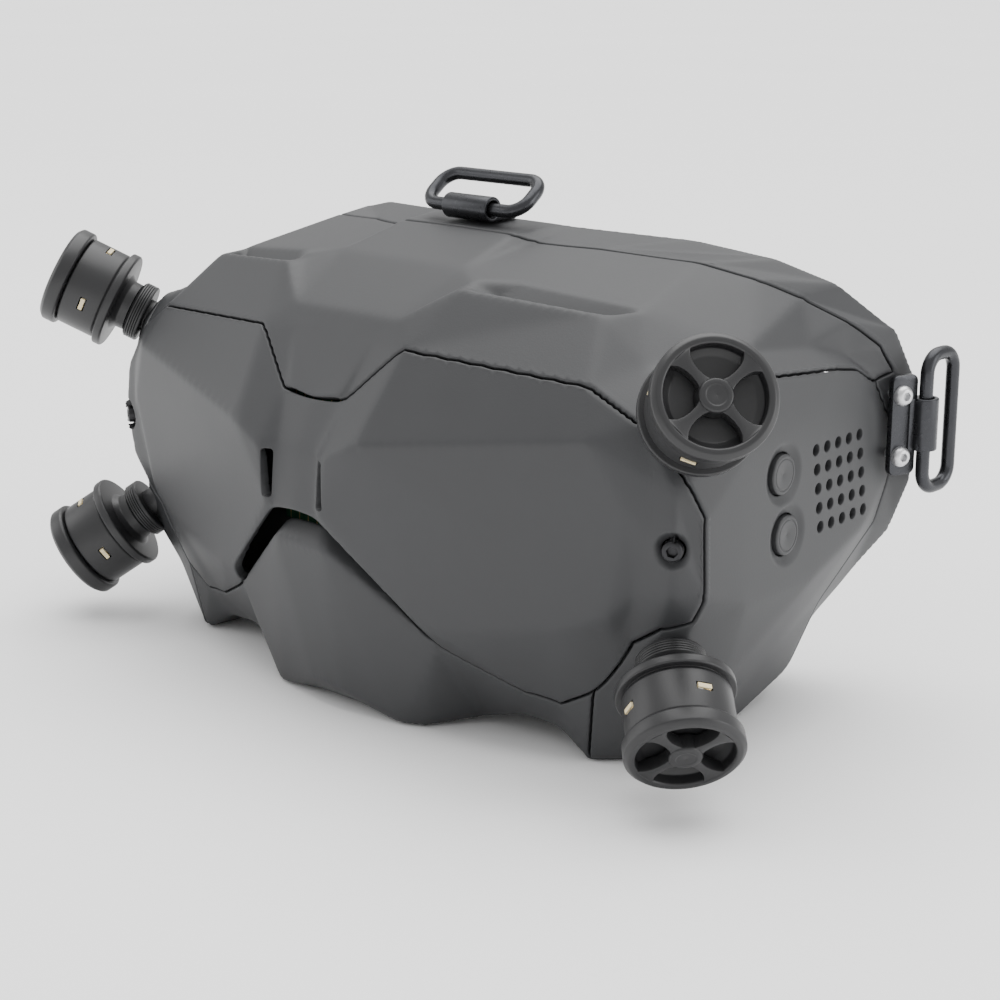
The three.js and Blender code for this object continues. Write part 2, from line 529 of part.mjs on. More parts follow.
/** Inner shroud: sloping walls from the lip to a plate with one oval window for each eyepiece. */
function eyeShroud() {
  const ring = ringNames("i");
  const rim = ring.map((n) => {
    const p = pointOf(n);
    return V(p.x * 0.985, p.y - 3.4, 58 + (p.z - 58) * 0.975);
  });
  const plateNames = RING.map((k) => "p" + k);
  const plate = [...plateNames, ...plateNames.slice(1, -1).reverse().map((n) => n + "~")].map((n) => {
    const p = PLATE[n.replace("~", "")];
    return V(n.endsWith("~") ? -p[0] : p[0], p[1], p[2]);
  });
  const back = (p, d, grow) => V(p.x * grow, p.y - d, 58 + (p.z - 58) * grow);
  const n = rim.length, points = [];
  const quad = (a, b, c, d) => [a, b, c, a, c, d].forEach((v) => points.push(...v.toArray()));
  const tri = (...t) => t.forEach((v) => points.push(...v.toArray()));
  const rimOut = rim.map((p) => back(p, 1.6, 1.012)), plateOut = plate.map((p) => back(p, 2, 1.02));
  const mid = V(0, 52, 66), midOut = V(0, 50, 66);
  for (let i = 0; i < n; i++) {
    const j = (i + 1) % n;
    quad(rim[i], rim[j], plate[j], plate[i]);
    quad(rimOut[j], rimOut[i], plateOut[i], plateOut[j]);
    quad(rim[j], rim[i], rimOut[i], rimOut[j]);
    tri(mid, plate[i], plate[j]);
    tri(midOut, plateOut[j], plateOut[i]);
  }
  const g = new THREE.BufferGeometry();
  g.setAttribute("position", new THREE.Float32BufferAttribute(points, 3));
  piece("eye_shroud", cut(g, ...SIDES.map(([, sign]) => barrelWindow(sign))), BLACK, 0, 0.8);
}

/** One antenna: threaded jack, body with flange and neck, inner board, and the spoked cap. */
function antenna(name, tip, axis) {
  const at = (g, back) => place(g.translate(0, 0, -back), tip.clone(), axis);
  // cap: outer ring, four spokes and a hub, with a skirt that fits inside the body
  const face = new THREE.Shape().absarc(0, 0, A.capR - 0.3, 0, Math.PI * 2, false);
  for (let k = 0; k < 4; k++) {
    const hole = new THREE.Path();
    const mid = (k + 0.5) * (Math.PI / 2);
    const wide = Math.PI / 4 - 0.13, near = Math.PI / 4 - 0.34;
    hole.absarc(0, 0, A.ringR, mid - wide, mid + wide, false);
    hole.absarc(0, 0, A.hubR + 0.6, mid + near, mid - near, true);
    hole.closePath();
    face.holes.push(hole);
  }
  const wheel = new THREE.ExtrudeGeometry(face, {
    depth: 2, bevelEnabled: false, curveSegments: 4,
  }).translate(0, 0, -2);
  const rim = tube(A.capR, A.ringR + 0.2, A.capH - 0.6, 20).translate(0, 0, -A.capH);
  piece("antenna_cap_" + name, at(join(wheel, rim), 0), BLACK, 0, 0.5);
  // body: open cup with four pad windows, flange, neck
  const top = A.capH + 0.3;
  const length = A.bodyH - 0.3;
  let cup = solid(rod(A.bodyR, length + 0.5, 20).translate(0, 0, -0.5));
  cup = cup.add(solid(rod(A.flangeR, A.flangeH, 20).translate(0, 0, -A.flangeH)));
  const neck = rod(A.neckR, A.neckH + 0.2, 12, A.neckR + 1.6);
  cup = cup.add(solid(neck.translate(0, 0, -A.flangeH - A.neckH)));
  cup = cup.subtract(solid(rod(A.bodyR - A.bodyWall, length, 20).translate(0, 0, 1.4)));
  cup = cup.subtract(solid(rod(A.pinR + 1.2, 12, 8).translate(0, 0, -8)));
  for (const turn of [0, Math.PI / 2])
    cup = cup.subtract(solid(box(40, 3.6, 1.8, 0, 0, 4.6).rotateZ(turn + 0.5)));
  piece("antenna_body_" + name, at(geometryOf(cup), top + length), BLACK, 0, 0.45);
  // board: disc with four tabs that reach the pad windows
  let board = solid(rod(A.bodyR - A.bodyWall - 0.4, 1, 16).translate(0, 0, 4.1));
  for (const turn of [0, Math.PI / 2])
    board = board.add(solid(box(2 * A.bodyR + 0.3, 3, 1, 0, 0, 4.6).rotateZ(turn + 0.5)));
  board = board.add(solid(rod(A.pinR, 8, 8).translate(0, 0, -3)));
  piece("antenna_board_" + name, at(geometryOf(board), top + length), 0xd8c48a, 0.1, 0.5);
  // jack: hexless round nut on the shell with a bore for the pin
  const jack = turned([[0, -A.jackH - 4], [4, -A.jackH - 4], [4, -A.jackH], [A.jackR, -A.jackH],
    [A.jackR, -0.6], [A.jackR - 0.8, 0], [A.boreR, 0], [A.boreR, -5], [0, -5]], 12);
  piece("antenna_jack_" + name, at(jack, STACK + A.neckH + 0.35), BLACK, 0.1, 0.5);
}

/** Hex socket screws that hold the cover at each end. */
function coverScrews() {
  for (const [side, sign] of SIDES) {
    const head = turned([[0, -6], [0.95, -6], [0.95, -1.1], [2.2, -1.1], [2.2, 0.6], [1.9, 1], [1.1, 1],
      [1.1, -0.4], [0, -0.4]], 12);
    const axis = mirrored(COVER_SCREW.axis, sign).normalize();
    piece("cover_screw_" + side, place(head, mirrored(COVER_SCREW.at, sign), axis), BLACK, 0.8, 0.4);
  }
}

/** Spring buttons of the right side: a flanged disc in each well. */
function channelButtons() {
  for (const key of ["up", "down"]) {
    const cap = turned([[0, -3.2], [5.6, -3.2], [5.6, -2.4], [BUTTONS.r, -2.4], [BUTTONS.r, 0.2],
      [BUTTONS.r - 0.6, 0.7], [2.2, 0.4], [0, 0.4]], 16);
    const at = sidePoint(...BUTTONS[key]);
    piece("channel_button_" + key, place(cap, at, V(1, 0, 0)), CHARCOAL, 0, 0.6);
  }
}

/** Controls and sockets of the left side. */
function leftControls() {
  const X = V(-1, 0, 0);
  const at = (key) => sidePoint(...LEFT[key]).multiply(V(-1, 1, 1));
  const stick = turned([[0, -4], [6.4, -4], [6.4, -3], [1.6, -3], [1.6, -0.4], [4.6, 0.4], [4.6, 1.8],
    [3.8, 2.3], [0, 1.7]], 20);
  piece("five_way_button", place(stick, at("joy"), X), BLACK, 0, 0.6);
  for (const key of ["back", "rec"]) {
    const cap = turned([[0, -3.2], [4.4, -3.2], [4.4, -2.5], [3, -2.5], [3, 0.2], [2.5, 0.7], [0, 0.9]], 16);
    piece(key === "rec" ? "record_button" : "back_button", place(cap, at(key), X), BLACK, 0, 0.6);
  }
  const block = cut(box(SOCKETS.tall, SOCKETS.long, 9, 0, 0, SOCKETS.proud - 4.5),
    rod(2.2, 6, 14).translate(0, -4.4, -3.6), rod(1.75, 6, 14).translate(0, 4.6, -3.6));
  piece("socket_block", place(block, SOCKETS.at, SOCKETS.out), BLACK, 0, 0.6);
}

// Strap loops: the middle of the bar the bracket holds, the bar's direction, and the way the loop hangs.
const LOOPS = {
  top: { bar: V(0, 50.2, 111), along: V(1, 0, 0), out: V(0, 0.8, 0.6) },
  right: { bar: V(94.6, 99.2, 66), along: V(0, 0, 1), out: V(0.02, 1, 0) },
  left: { bar: V(-94.6, 99.2, 66), along: V(0, 0, 1), out: V(-0.02, 1, 0) },
};

/** A basis matrix at a point: X along, Y out, Z square to both. */
function frameAt(point, along, out) {
  const x = along.clone().normalize(), y = out.clone().normalize();
  const z = x.clone().cross(y);
  return new THREE.Matrix4().makeBasis(x, y, z).setPosition(point);
}

/** A rounded-rectangle wire loop whose first long bar lies on the local X axis. */
function strapLoop(key) {
  const { bar, along, out } = LOOPS[key];
  const l = LOOP.length / 2 - LOOP.rod, w = LOOP.width - 2 * LOOP.rod, r = LOOP.corner;
  const corners = [
    [l - r, 0], [l, r], [l, w - r], [l - r, w], [-l + r, w], [-l, w - r], [-l, r], [-l + r, 0],
  ];
  const path = new THREE.CurvePath();
  corners.forEach(([x, y], i) => {
    const [u, v] = corners[(i + 1) % 8];
    const a = V(x, y, 0), b = V(u, v, 0);
    if (i % 2) path.add(new THREE.LineCurve3(a, b));
    else {
      const m = V(Math.sign(x + u) * l, (y + v) / 2 > w / 2 ? w : 0, 0);
      path.add(new THREE.QuadraticBezierCurve3(a, m, b));
    }
  });
  const steps = [4, 2, 4, 4, 4, 2, 4, 4];
  const ring = [];
  path.curves.forEach((c, i) => {
    for (let k = 0; k < steps[i]; k++) ring.push([c.getPoint(k / steps[i]), c.getTangent(k / steps[i])]);
  });
  const sides = 6, points = [];
  const at = (i, k) => {
    const [p, t] = ring[i % ring.length];
    const side = V(-t.y, t.x, 0), a = ((k % sides) + 0.5) * (2 * Math.PI / sides);
    const round = V(0, 0, Math.sin(a) * LOOP.rod);
    return p.clone().addScaledVector(side, Math.cos(a) * LOOP.rod * 1.06).add(round);
  };
  for (let i = 0; i < ring.length; i++)
    for (let k = 0; k < sides; k++) {
      const q = [at(i, k), at(i + 1, k), at(i + 1, k + 1), at(i, k + 1)];
      for (const v of [q[0], q[2], q[1], q[0], q[3], q[2]]) points.push(...v.toArray());
    }
  let g = new THREE.BufferGeometry();
  g.setAttribute("position", new THREE.Float32BufferAttribute(points, 3));
  if (solid(g).volume() < 0) {
    const p = g.attributes.position;
    for (let i = 0; i < p.count; i += 3) {
      const a = V().fromBufferAttribute(p, i + 1), b = V().fromBufferAttribute(p, i + 2);
      p.setXYZ(i + 1, ...b.toArray());
      p.setXYZ(i + 2, ...a.toArray());
    }
  }
  g.computeVertexNormals();
  piece("strap_loop_" + key, g.applyMatrix4(frameAt(bar, along, out)), GUNMETAL, 0.7, 0.4);
}

// Side bracket: a flat plate on the face frame that ends in a knuckle round the loop's bar.
const BRACKET = { length: 23, plate: 7, thick: 1.8, knuckle: 2.95, screwGap: 14, screwR: 1.35 };
const PLATE_DIR = V(0.33, 0.944, 0).normalize(), PLATE_N = V(0.944, -0.33, 0).normalize();
const plateMid = (sign) => V(sign * 90.7, 94.8, 66);

function bracketScrewHoles() {
  return SIDES.flatMap(([, sign]) => [-1, 1].map((k) => {
    const n = V(PLATE_N.x * sign, PLATE_N.y, 0);
    const at = plateMid(sign).addScaledVector(V(PLATE_DIR.x * sign, PLATE_DIR.y, 0), -1);
    at.z += (k * BRACKET.screwGap) / 2;
    return place(rod(BRACKET.screwR + 0.3, 14, 8).translate(0, 0, -10), at, n);
  }));
}

/** Side strap bracket with its two button-head screws. */
function sideBracket(side, sign) {
  const n = V(PLATE_N.x * sign, PLATE_N.y, 0), d = V(PLATE_DIR.x * sign, PLATE_DIR.y, 0);
  const base = new THREE.Matrix4().makeBasis(d, V(0, 0, sign), n).setPosition(plateMid(sign));
  const plate = slab(roundedRect(BRACKET.plate, BRACKET.length, 1.6), BRACKET.thick, 3)
    .applyMatrix4(base);
  const bar = LOOPS[side].bar;
  const knuckle = rod(BRACKET.knuckle, 12, 16).translate(bar.x, bar.y, bar.z - 6);
  const reach = box(5, 2.4, 12, 0, 0, 0).applyMatrix4(
    new THREE.Matrix4().makeBasis(d, n.clone().multiplyScalar(-sign), V(0, 0, 1))
      .setPosition(plateMid(sign).addScaledVector(d, 3.6).addScaledVector(n, 1.1)));
  let made = solid(plate).add(solid(reach)).add(solid(knuckle));
  made = made.subtract(solid(rod(LOOP.rod + 0.42, 26, 16).translate(bar.x, bar.y, bar.z - 13)));
  for (const k of [-1, 1]) {
    const at = plateMid(sign).addScaledVector(d, -1).add(V(0, 0, (k * BRACKET.screwGap) / 2));
    made = made.subtract(solid(place(rod(BRACKET.screwR + 0.3, 8, 8).translate(0, 0, -3), at.clone(), n)));
    const screw = turned([[0, -5], [BRACKET.screwR - 0.2, -5], [BRACKET.screwR - 0.2, 2.1], [2.3, 2.1],
      [2.3, 2.9], [1.8, 3.6], [1, 3.8], [1, 2.8], [0, 2.8]], 12);
    piece("bracket_screw_" + side + (k > 0 ? "_upper" : "_lower"), place(screw, at, n), STEEL, 0.9, 0.3);
  }
  piece("strap_bracket_" + side, geometryOf(made), GUNMETAL, 0.6, 0.45);
}

/** Top strap bracket: a knuckle on a foot that lies on the face frame. */
function topBracket() {
  const bar = LOOPS.top.bar;
  const knuckle = place(rod(BRACKET.knuckle, 14, 16), bar.clone().add(V(-7, 0, 0)), V(1, 0, 0));
  const foot = box(14, 9, 1.4, 0, bar.y + 4.4, bar.z - 2.1);
  let made = solid(knuckle).add(solid(foot));
  const bore = place(rod(LOOP.rod + 0.42, 18, 16), bar.clone().add(V(-9, 0, 0)), V(1, 0, 0));
  made = made.subtract(solid(bore));
  piece("strap_bracket_top", geometryOf(made), GUNMETAL, 0.6, 0.45);
}

/** One eyepiece: barrel with slider post, lens and display panel. */
function eyepiece(side, sign) {
  const R = EYE.barrelR, x = sign * EYE.x;
  const profile = [[R - 2, 0], [R, 0], [R, 22], [R - 1.4, 23.4], [R - 3, 23.4], [R - 3, 19.4], [R - 2, 19.4],
    [R - 2, 0]];
  const tubeGeo = place(turned(profile, 22), V(x, 31, EYE.z), V(0, 1, 0));
  const post = box(3.2, 3, EYE.z - R - 9.6 + 1.2, x + sign * (IPD.x - EYE.x), IPD.y, 0)
    .translate(0, 0, (EYE.z - R + 9.6 + 1.2) / 2);
  piece("lens_barrel_" + side, join(tubeGeo, post), BLACK, 0, 0.6);
  const lens = turned([[0, 0], [9, 0.5], [EYE.lensR - 0.4, 2.6], [EYE.lensR - 0.4, 4.4], [12, 5.6], [6, 6.6],
    [0, 6.9]], 18);
  piece("eyepiece_lens_" + side, place(lens, V(x, 44.6, EYE.z), V(0, 1, 0)), 0x8fa3b8, 0, 0.08);
  piece("display_panel_" + side, box(25, 2, 25, x, 33.4, EYE.z), 0x10151c, 0, 0.15);
  const knob = join(box(7.4, 5.6, 2.2, x + sign, IPD.y, 3.2), box(3.2, 3, 4.8, x + sign, IPD.y, 6.4));
  piece("ipd_knob_" + side, knob, BLACK, 0, 0.6);
}

/** Rail that both eyepieces slide on. */
function ipdRail() {
  piece("ipd_rail", place(rod(1.6, 118, 12), V(-59, 35, 81.6), V(1, 0, 0)), STEEL, 0.9, 0.3);
}

/** Boards behind the cover: main board, radio board under its heat sink. */
function boards() {
  const sinks = [box(44, 20, 2, 0, 36, 89.4)];
  for (let k = -5; k <= 5; k++) sinks.push(box(1.2, 20, 4.2, k * 4, 36, 92.3));
  piece("main_board", box(66, 1.6, 40, 0, 20, 56), 0x1f4a33, 0.1, 0.5);
  piece("radio_board", box(50, 26, 1.4, 0, 36, 87), 0x1f4a33, 0.1, 0.5);
  piece("heat_sink", join(...sinks), 0x8b8d90, 0.8, 0.45);
}

const FAN = { x: 79.6, y: 73.2, z: 57.2, r: 10.2 };
/** Exhaust fan behind the air outlet: housing and impeller. */
function fan() {
  const X = V(1, 0, 0), at = () => V(FAN.x, FAN.y, FAN.z);
  let housing = solid(rod(FAN.r, 5.6, 18)).subtract(solid(rod(FAN.r - 1, 6, 18).translate(0, 0, 1)));
  housing = housing.subtract(solid(tube(FAN.r - 1.6, 4.2, 4, 12).translate(0, 0, -1)));
  for (let k = 0; k < 3; k++)
    housing = housing.add(solid(box(FAN.r - 3, 1.2, 1, FAN.r / 2 + 1, 0, 0.5).rotateZ((k * 2 * Math.PI) / 3)));
  housing = housing.add(solid(rod(0.9, 2.8, 10).translate(0, 0, 0.5)));
  piece("fan_housing", place(geometryOf(housing), at(), X), BLACK, 0, 0.6);
  let wheel = solid(rod(3.6, 3.2, 14));
  for (let k = 0; k < 7; k++)
    wheel = wheel.add(solid(box(5.6, 0.9, 3, 5.8, 0, 1.6).rotateX(0.35).rotateZ((k / 7) * 2 * Math.PI)));
  wheel = wheel.subtract(solid(rod(1.25, 2.6, 12).translate(0, 0, -0.4)));
  piece("fan_impeller", place(geometryOf(wheel), at().add(V(1.6, 0, 0)), X), 0x2a2a2c, 0, 0.6);
}

frontCover();
topShell();
lowerShell();
sideCoverRight();
sideCoverLeft();
faceFrame();
faceFoam();
eyeShroud();
for (const [name, tip, axis] of ANTENNAS) antenna(name, tip, axis);
coverScrews();
channelButtons();
leftControls();
for (const key of Object.keys(LOOPS)) strapLoop(key);
for (const [side, sign] of SIDES) sideBracket(side, sign);
topBracket();
for (const [side, sign] of SIDES) eyepiece(side, sign);
ipdRail();
boards();
fan();

export default group;
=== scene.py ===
"""Visual model of one-piece FPV video goggles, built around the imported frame.

The outer housing is one faceted skin. It is refined, its edges are softened, and it is parted
along its seams into shells. Antennas, strap hardware, buttons, foam pad and eyepieces are pieces
of their own. Sizes are in millimetres and every mesh is written in metres.
"""

import logging
import math
from collections.abc import Callable, Sequence
from dataclasses import dataclass, field
from enum import Enum

import bmesh
import bpy
import numpy as np
from mathutils import Matrix, Vector
from mathutils.kdtree import KDTree


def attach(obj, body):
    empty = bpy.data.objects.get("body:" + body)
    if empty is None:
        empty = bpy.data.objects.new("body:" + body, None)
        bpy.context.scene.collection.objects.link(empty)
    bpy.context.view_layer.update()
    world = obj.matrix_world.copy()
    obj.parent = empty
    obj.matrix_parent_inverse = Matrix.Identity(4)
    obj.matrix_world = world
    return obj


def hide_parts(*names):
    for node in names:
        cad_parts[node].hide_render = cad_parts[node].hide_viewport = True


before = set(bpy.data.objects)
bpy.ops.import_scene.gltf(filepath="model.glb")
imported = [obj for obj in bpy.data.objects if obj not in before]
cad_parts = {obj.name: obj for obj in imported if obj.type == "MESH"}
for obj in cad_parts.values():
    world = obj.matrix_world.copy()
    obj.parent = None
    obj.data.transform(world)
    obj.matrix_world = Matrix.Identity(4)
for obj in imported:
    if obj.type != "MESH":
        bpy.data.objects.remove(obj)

log = logging.getLogger("goggles")

MM = 0.001
SHIFT_Y = -51.65  # the skin's own Y = 0 is at the bridge; the frame's is in the middle
Point = tuple[float, float, float]
Profile = Sequence[tuple[float, float]]


class Side(Enum):
    """The two sides of the goggles, with the sign of their X."""

    RIGHT = 1
    LEFT = -1

    @property
    def word(self) -> str:
        """The side's name in node names."""
        return self.name.lower()

    def at(self, x: float, y: float, z: float) -> Vector:
        """A point or direction given for the right side, on this side."""
        return Vector((x * self.value, y, z))


# ---------------------------------------------------------------- finishes
class Bench:
    """A material under construction: its nodes, its shader and the links between them."""

    def __init__(self, name: str) -> None:
        """Starts a material with a Principled shader.

        Args:
            name: The material's name.
        """
        self.material = bpy.data.materials.new(name)
        self.material.use_nodes = True
        self.nodes = self.material.node_tree.nodes
        self.shader = self.nodes["Principled BSDF"]
        self.where = self.nodes.new("ShaderNodeTexCoord").outputs["Object"]

    def set(self, **values: object) -> None:
        """Sets the shader's own sockets, with _ for a space in a socket's name."""
        for key, value in values.items():
            socket = self.shader.inputs[key.replace("_", " ")]
            socket.default_value = (*value, 1.0) if isinstance(value, tuple) else value

    def link(self, source: bpy.types.NodeSocket, target: str) -> None:
        """Feeds one of the shader's sockets."""
        self.material.node_tree.links.new(source, self.shader.inputs[target])

    def noise(self, scale: float, detail: float = 3.0, rough: float = 0.5) -> bpy.types.NodeSocket:
        """Cloudy variation, with scale in cycles per metre."""
        node = self.nodes.new("ShaderNodeTexNoise")
        node.inputs["Scale"].default_value = scale
        node.inputs["Detail"].default_value = detail
        node.inputs["Roughness"].default_value = rough
        self.material.node_tree.links.new(self.where, node.inputs["Vector"])
        return node.outputs["Fac"]

    def cells(self, scale: float) -> bpy.types.NodeSocket:
        """Distance to the nearest grain, with scale in grains per metre."""
        node = self.nodes.new("ShaderNodeTexVoronoi")
        node.inputs["Scale"].default_value = scale
        self.material.node_tree.links.new(self.where, node.inputs["Vector"])
        return node.outputs["Distance"]

    def spread(self, source: bpy.types.NodeSocket, low: float, high: float,
               from_low: float = 0.3, from_high: float = 0.7) -> bpy.types.NodeSocket:
        """Maps a value from one range to another."""
        node = self.nodes.new("ShaderNodeMapRange")
        for key, value in zip(("From Min", "From Max", "To Min", "To Max"),
                              (from_low, from_high, low, high)):
            node.inputs[key].default_value = value
        self.material.node_tree.links.new(source, node.inputs["Value"])
        return node.outputs["Result"]

    def blend(self, factor: bpy.types.NodeSocket, low: Point, high: Point) -> bpy.types.NodeSocket:
        """Mixes two colours by a factor."""
        node = self.nodes.new("ShaderNodeValToRGB")
        node.color_ramp.elements[0].color = (*low, 1.0)
        node.color_ramp.elements[1].color = (*high, 1.0)
        self.material.node_tree.links.new(factor, node.inputs["Fac"])
        return node.outputs["Color"]

    def add(self, one: bpy.types.NodeSocket, other: bpy.types.NodeSocket,
            share: float) -> bpy.types.NodeSocket:
        """The first value plus a share of the other."""
        node = self.nodes.new("ShaderNodeMath")
        node.operation = "MULTIPLY_ADD"
        node.inputs[1].default_value = share
        self.material.node_tree.links.new(other, node.inputs[0])
        self.material.node_tree.links.new(one, node.inputs[2])
        return node.outputs["Value"]

    def relief(self, height: bpy.types.NodeSocket, depth: float, strength: float = 1.0) -> None:
        """Lays a relief of this depth, in metres, over the surface."""
        node = self.nodes.new("ShaderNodeBump")
        node.inputs["Distance"].default_value = depth
        node.inputs["Strength"].default_value = strength
        self.material.node_tree.links.new(height, node.inputs["Height"])
        self.link(node.outputs["Normal"], "Normal")


@dataclass(frozen=True)
class MouldedPlastic:
    """Injection-moulded plastic with a spark-eroded grain."""

    name: str
    color: Point
    roughness: float = 0.5
    grain: float = 3200.0
    depth: float = 0.000012
    mottle: float = 0.12

    def material(self) -> bpy.types.Material:
        """Builds the material.

        Returns:
            The finished material.
        """
        b = Bench(self.name)
        cloud = b.noise(22.0, 4.0, 0.6)
        low = tuple(c * (1 - self.mottle) for c in self.color)
        high = tuple(c * (1 + self.mottle) for c in self.color)
        b.link(b.blend(b.spread(cloud, 0.0, 1.0), low, high), "Base Color")
        speck = b.noise(self.grain, 2.0, 0.6)
        rough = b.add(b.spread(cloud, self.roughness - 0.03, self.roughness + 0.03), speck, 0.06)
        b.link(rough, "Roughness")
        b.relief(b.add(speck, b.cells(self.grain * 0.6), 0.6), self.depth)
        b.set(Specular_IOR_Level=0.5)
        return b.material


@dataclass(frozen=True)
class CoatedMetal:
    """Metal under a thin dark coat, or bare when its colour is bright."""

    name: str
    color: Point
    roughness: float = 0.35
    metallic: float = 1.0
    brush: float = 900.0

    def material(self) -> bpy.types.Material:
        """Builds the material.

        Returns:
            The finished material.
        """
        b = Bench(self.name)
        cloud = b.noise(60.0, 3.0)
        low = tuple(c * 0.85 for c in self.color)
        high = tuple(min(1.0, c * 1.15) for c in self.color)
        b.link(b.blend(b.spread(cloud, 0.0, 1.0), low, high), "Base Color")
        b.link(b.spread(b.noise(self.brush, 2.0), self.roughness - 0.06, self.roughness + 0.08),
               "Roughness")
        b.relief(b.noise(self.brush * 3, 2.0), 0.000006)
        b.set(Metallic=self.metallic)
        return b.material


@dataclass(frozen=True)
class FoamCloth:
    """Short-pile cloth over soft foam."""

    name: str
    color: Point
    pile: float = 1500.0

    def material(self) -> bpy.types.Material:
        """Builds the material.

        Returns:
            The finished material.
        """
        b = Bench(self.name)
        tuft = b.cells(self.pile)
        low = tuple(c * 0.6 for c in self.color)
        high = tuple(c * 1.6 for c in self.color)
        b.link(b.blend(b.spread(tuft, 0.0, 1.0, 0.0, 0.6), low, high), "Base Color")
        b.link(b.spread(b.noise(40.0), 0.86, 0.98), "Roughness")
        b.relief(b.add(tuft, b.noise(self.pile * 0.4), 0.8), 0.0002, 0.8)
        b.set(Sheen_Weight=0.5, Sheen_Roughness=0.45)
        return b.material


@dataclass(frozen=True)
class CoatedGlass:
    """Clear glass with a faint coloured coating."""

    name: str
    color: Point
    roughness: float = 0.02

    def material(self) -> bpy.types.Material:
        """Builds the material.

        Returns:
            The finished material.
        """
        b = Bench(self.name)
        b.link(b.spread(b.noise(80.0), self.roughness, self.roughness + 0.03), "Roughness")
        b.set(Base_Color=self.color, Transmission_Weight=0.9, IOR=1.49, Coat_Weight=0.6,
              Coat_Roughness=0.03)
        return b.material


@dataclass(frozen=True)
class PrintedBoard:
    """Circuit board: solder resist over copper areas."""

    name: str
    color: Point
    copper: Point

    def material(self) -> bpy.types.Material:
        """Builds the material.

        Returns:
            The finished material.
        """
        b = Bench(self.name)
        node = b.nodes.new("ShaderNodeTexBrick")
        node.inputs["Scale"].default_value = 160.0
        node.inputs["Mortar Size"].default_value = 0.03
        node.inputs["Color1"].default_value = (*self.color, 1.0)
        node.inputs["Color2"].default_value = (*(c * 1.3 for c in self.color), 1.0)
        node.inputs["Mortar"].default_value = (*self.copper, 1.0)
        b.material.node_tree.links.new(b.where, node.inputs["Vector"])
        b.link(node.outputs["Color"], "Base Color")
        b.link(b.spread(b.noise(300.0), 0.3, 0.45), "Roughness")
        b.relief(node.outputs["Fac"], 0.00003)
        return b.material


Finish = MouldedPlastic | CoatedMetal | FoamCloth | CoatedGlass | PrintedBoard


class Look(Enum):
    """Every finish on the goggles, and the record's slot that it belongs to."""

    HOUSING = (MouldedPlastic("housing_charcoal", (0.028, 0.0288, 0.0307), 0.5), "housing")
    SHROUD = (MouldedPlastic("shroud_black", (0.016, 0.016, 0.017), 0.62, 2200.0, 0.00002), "shroud")
    ANTENNA = (MouldedPlastic("antenna_satin", (0.013, 0.013, 0.014), 0.38, 4200.0, 0.000006),
               "antenna_shell")
    ANTENNA_BOARD = (PrintedBoard("antenna_board", (0.02, 0.02, 0.018), (0.05, 0.045, 0.03)),
                     "antenna_board")
    PAD_GOLD = (CoatedMetal("pad_gold", (0.83, 0.6, 0.28), 0.25), "antenna_board")
    PAD_WHITE = (MouldedPlastic("pad_white", (0.78, 0.76, 0.7), 0.4, 3000.0, 0.000004), "antenna_board")
    BUTTON = (MouldedPlastic("button_charcoal", (0.026, 0.0267, 0.0286), 0.46, 3600.0, 0.000007), "button")
    BLACK = (MouldedPlastic("smooth_black", (0.012, 0.012, 0.013), 0.42, 3600.0, 0.000006),
             "black_plastic")
    GUNMETAL = (CoatedMetal("gunmetal", (0.045, 0.046, 0.05), 0.3, 0.85), "strap_metal")
    BLACK_SCREW = (CoatedMetal("blackened_screw", (0.03, 0.03, 0.032), 0.34, 0.8), "black_screw")
    STEEL = (CoatedMetal("bright_screw", (0.62, 0.62, 0.63), 0.24), "bright_screw")
    RAIL = (CoatedMetal("ground_rail", (0.6, 0.6, 0.61), 0.2), "rail_steel")
    SINK = (CoatedMetal("cast_fins", (0.55, 0.56, 0.57), 0.45), "heat_sink")
    FOAM = (FoamCloth("foam_cloth", (0.018, 0.018, 0.02)), "face_foam")
    LENS = (CoatedGlass("coated_lens", (0.72, 0.8, 0.95)), "lens")
    DISPLAY = (MouldedPlastic("dark_display", (0.008, 0.01, 0.014), 0.12, 900.0, 0.000002), "display")
    BOARD = (PrintedBoard("green_board", (0.015, 0.07, 0.035), (0.3, 0.2, 0.08)), "circuit_board")

    def material(self) -> bpy.types.Material:
        """The finish's material, built the first time it is asked for."""
        finish = self.value[0]
        return bpy.data.materials.get(finish.name) or finish.material()

    @property
    def slot(self) -> str:
        """The record's material slot."""
        return self.value[1]


# ---------------------------------------------------------------- mesh drafting
def circle(radius: float, count: int = 32) -> list[tuple[float, float]]:
    """A round outline."""
    turn = 2 * math.pi / count
    return [(radius * math.cos(k * turn), radius * math.sin(k * turn)) for k in range(count)]


def rounded(outline: Profile, radius: float, steps: int = 3, closed: bool = True) -> Profile:
    """Rounds the corners of an outline or a profile.

    Args:
        outline: The corners in order.
        radius: How far from a corner the rounding starts, at most.
        steps: Points on each rounding, less one.
        closed: Whether the last corner joins the first; if not, both end points stay.

    Returns:
        The rounded outline.
    """
    out: list[tuple[float, float]] = []
    n = len(outline)
    for i, corner in enumerate(outline):
        if not closed and i in (0, n - 1):
            out.append(tuple(corner))
            continue
        c = Vector(corner)
        before, after = Vector(outline[i - 1]) - c, Vector(outline[(i + 1) % n]) - c
        if before.length < 1e-6 or after.length < 1e-6:
            out.append(tuple(corner))
            continue
        a = c + before.normalized() * min(radius, before.length * 0.45)
        d = c + after.normalized() * min(radius, after.length * 0.45)
        for k in range(steps + 1):
            t = k / steps
            p = a * (1 - t) ** 2 + c * 2 * t * (1 - t) + d * t * t
            out.append((p.x, p.y))
    return out


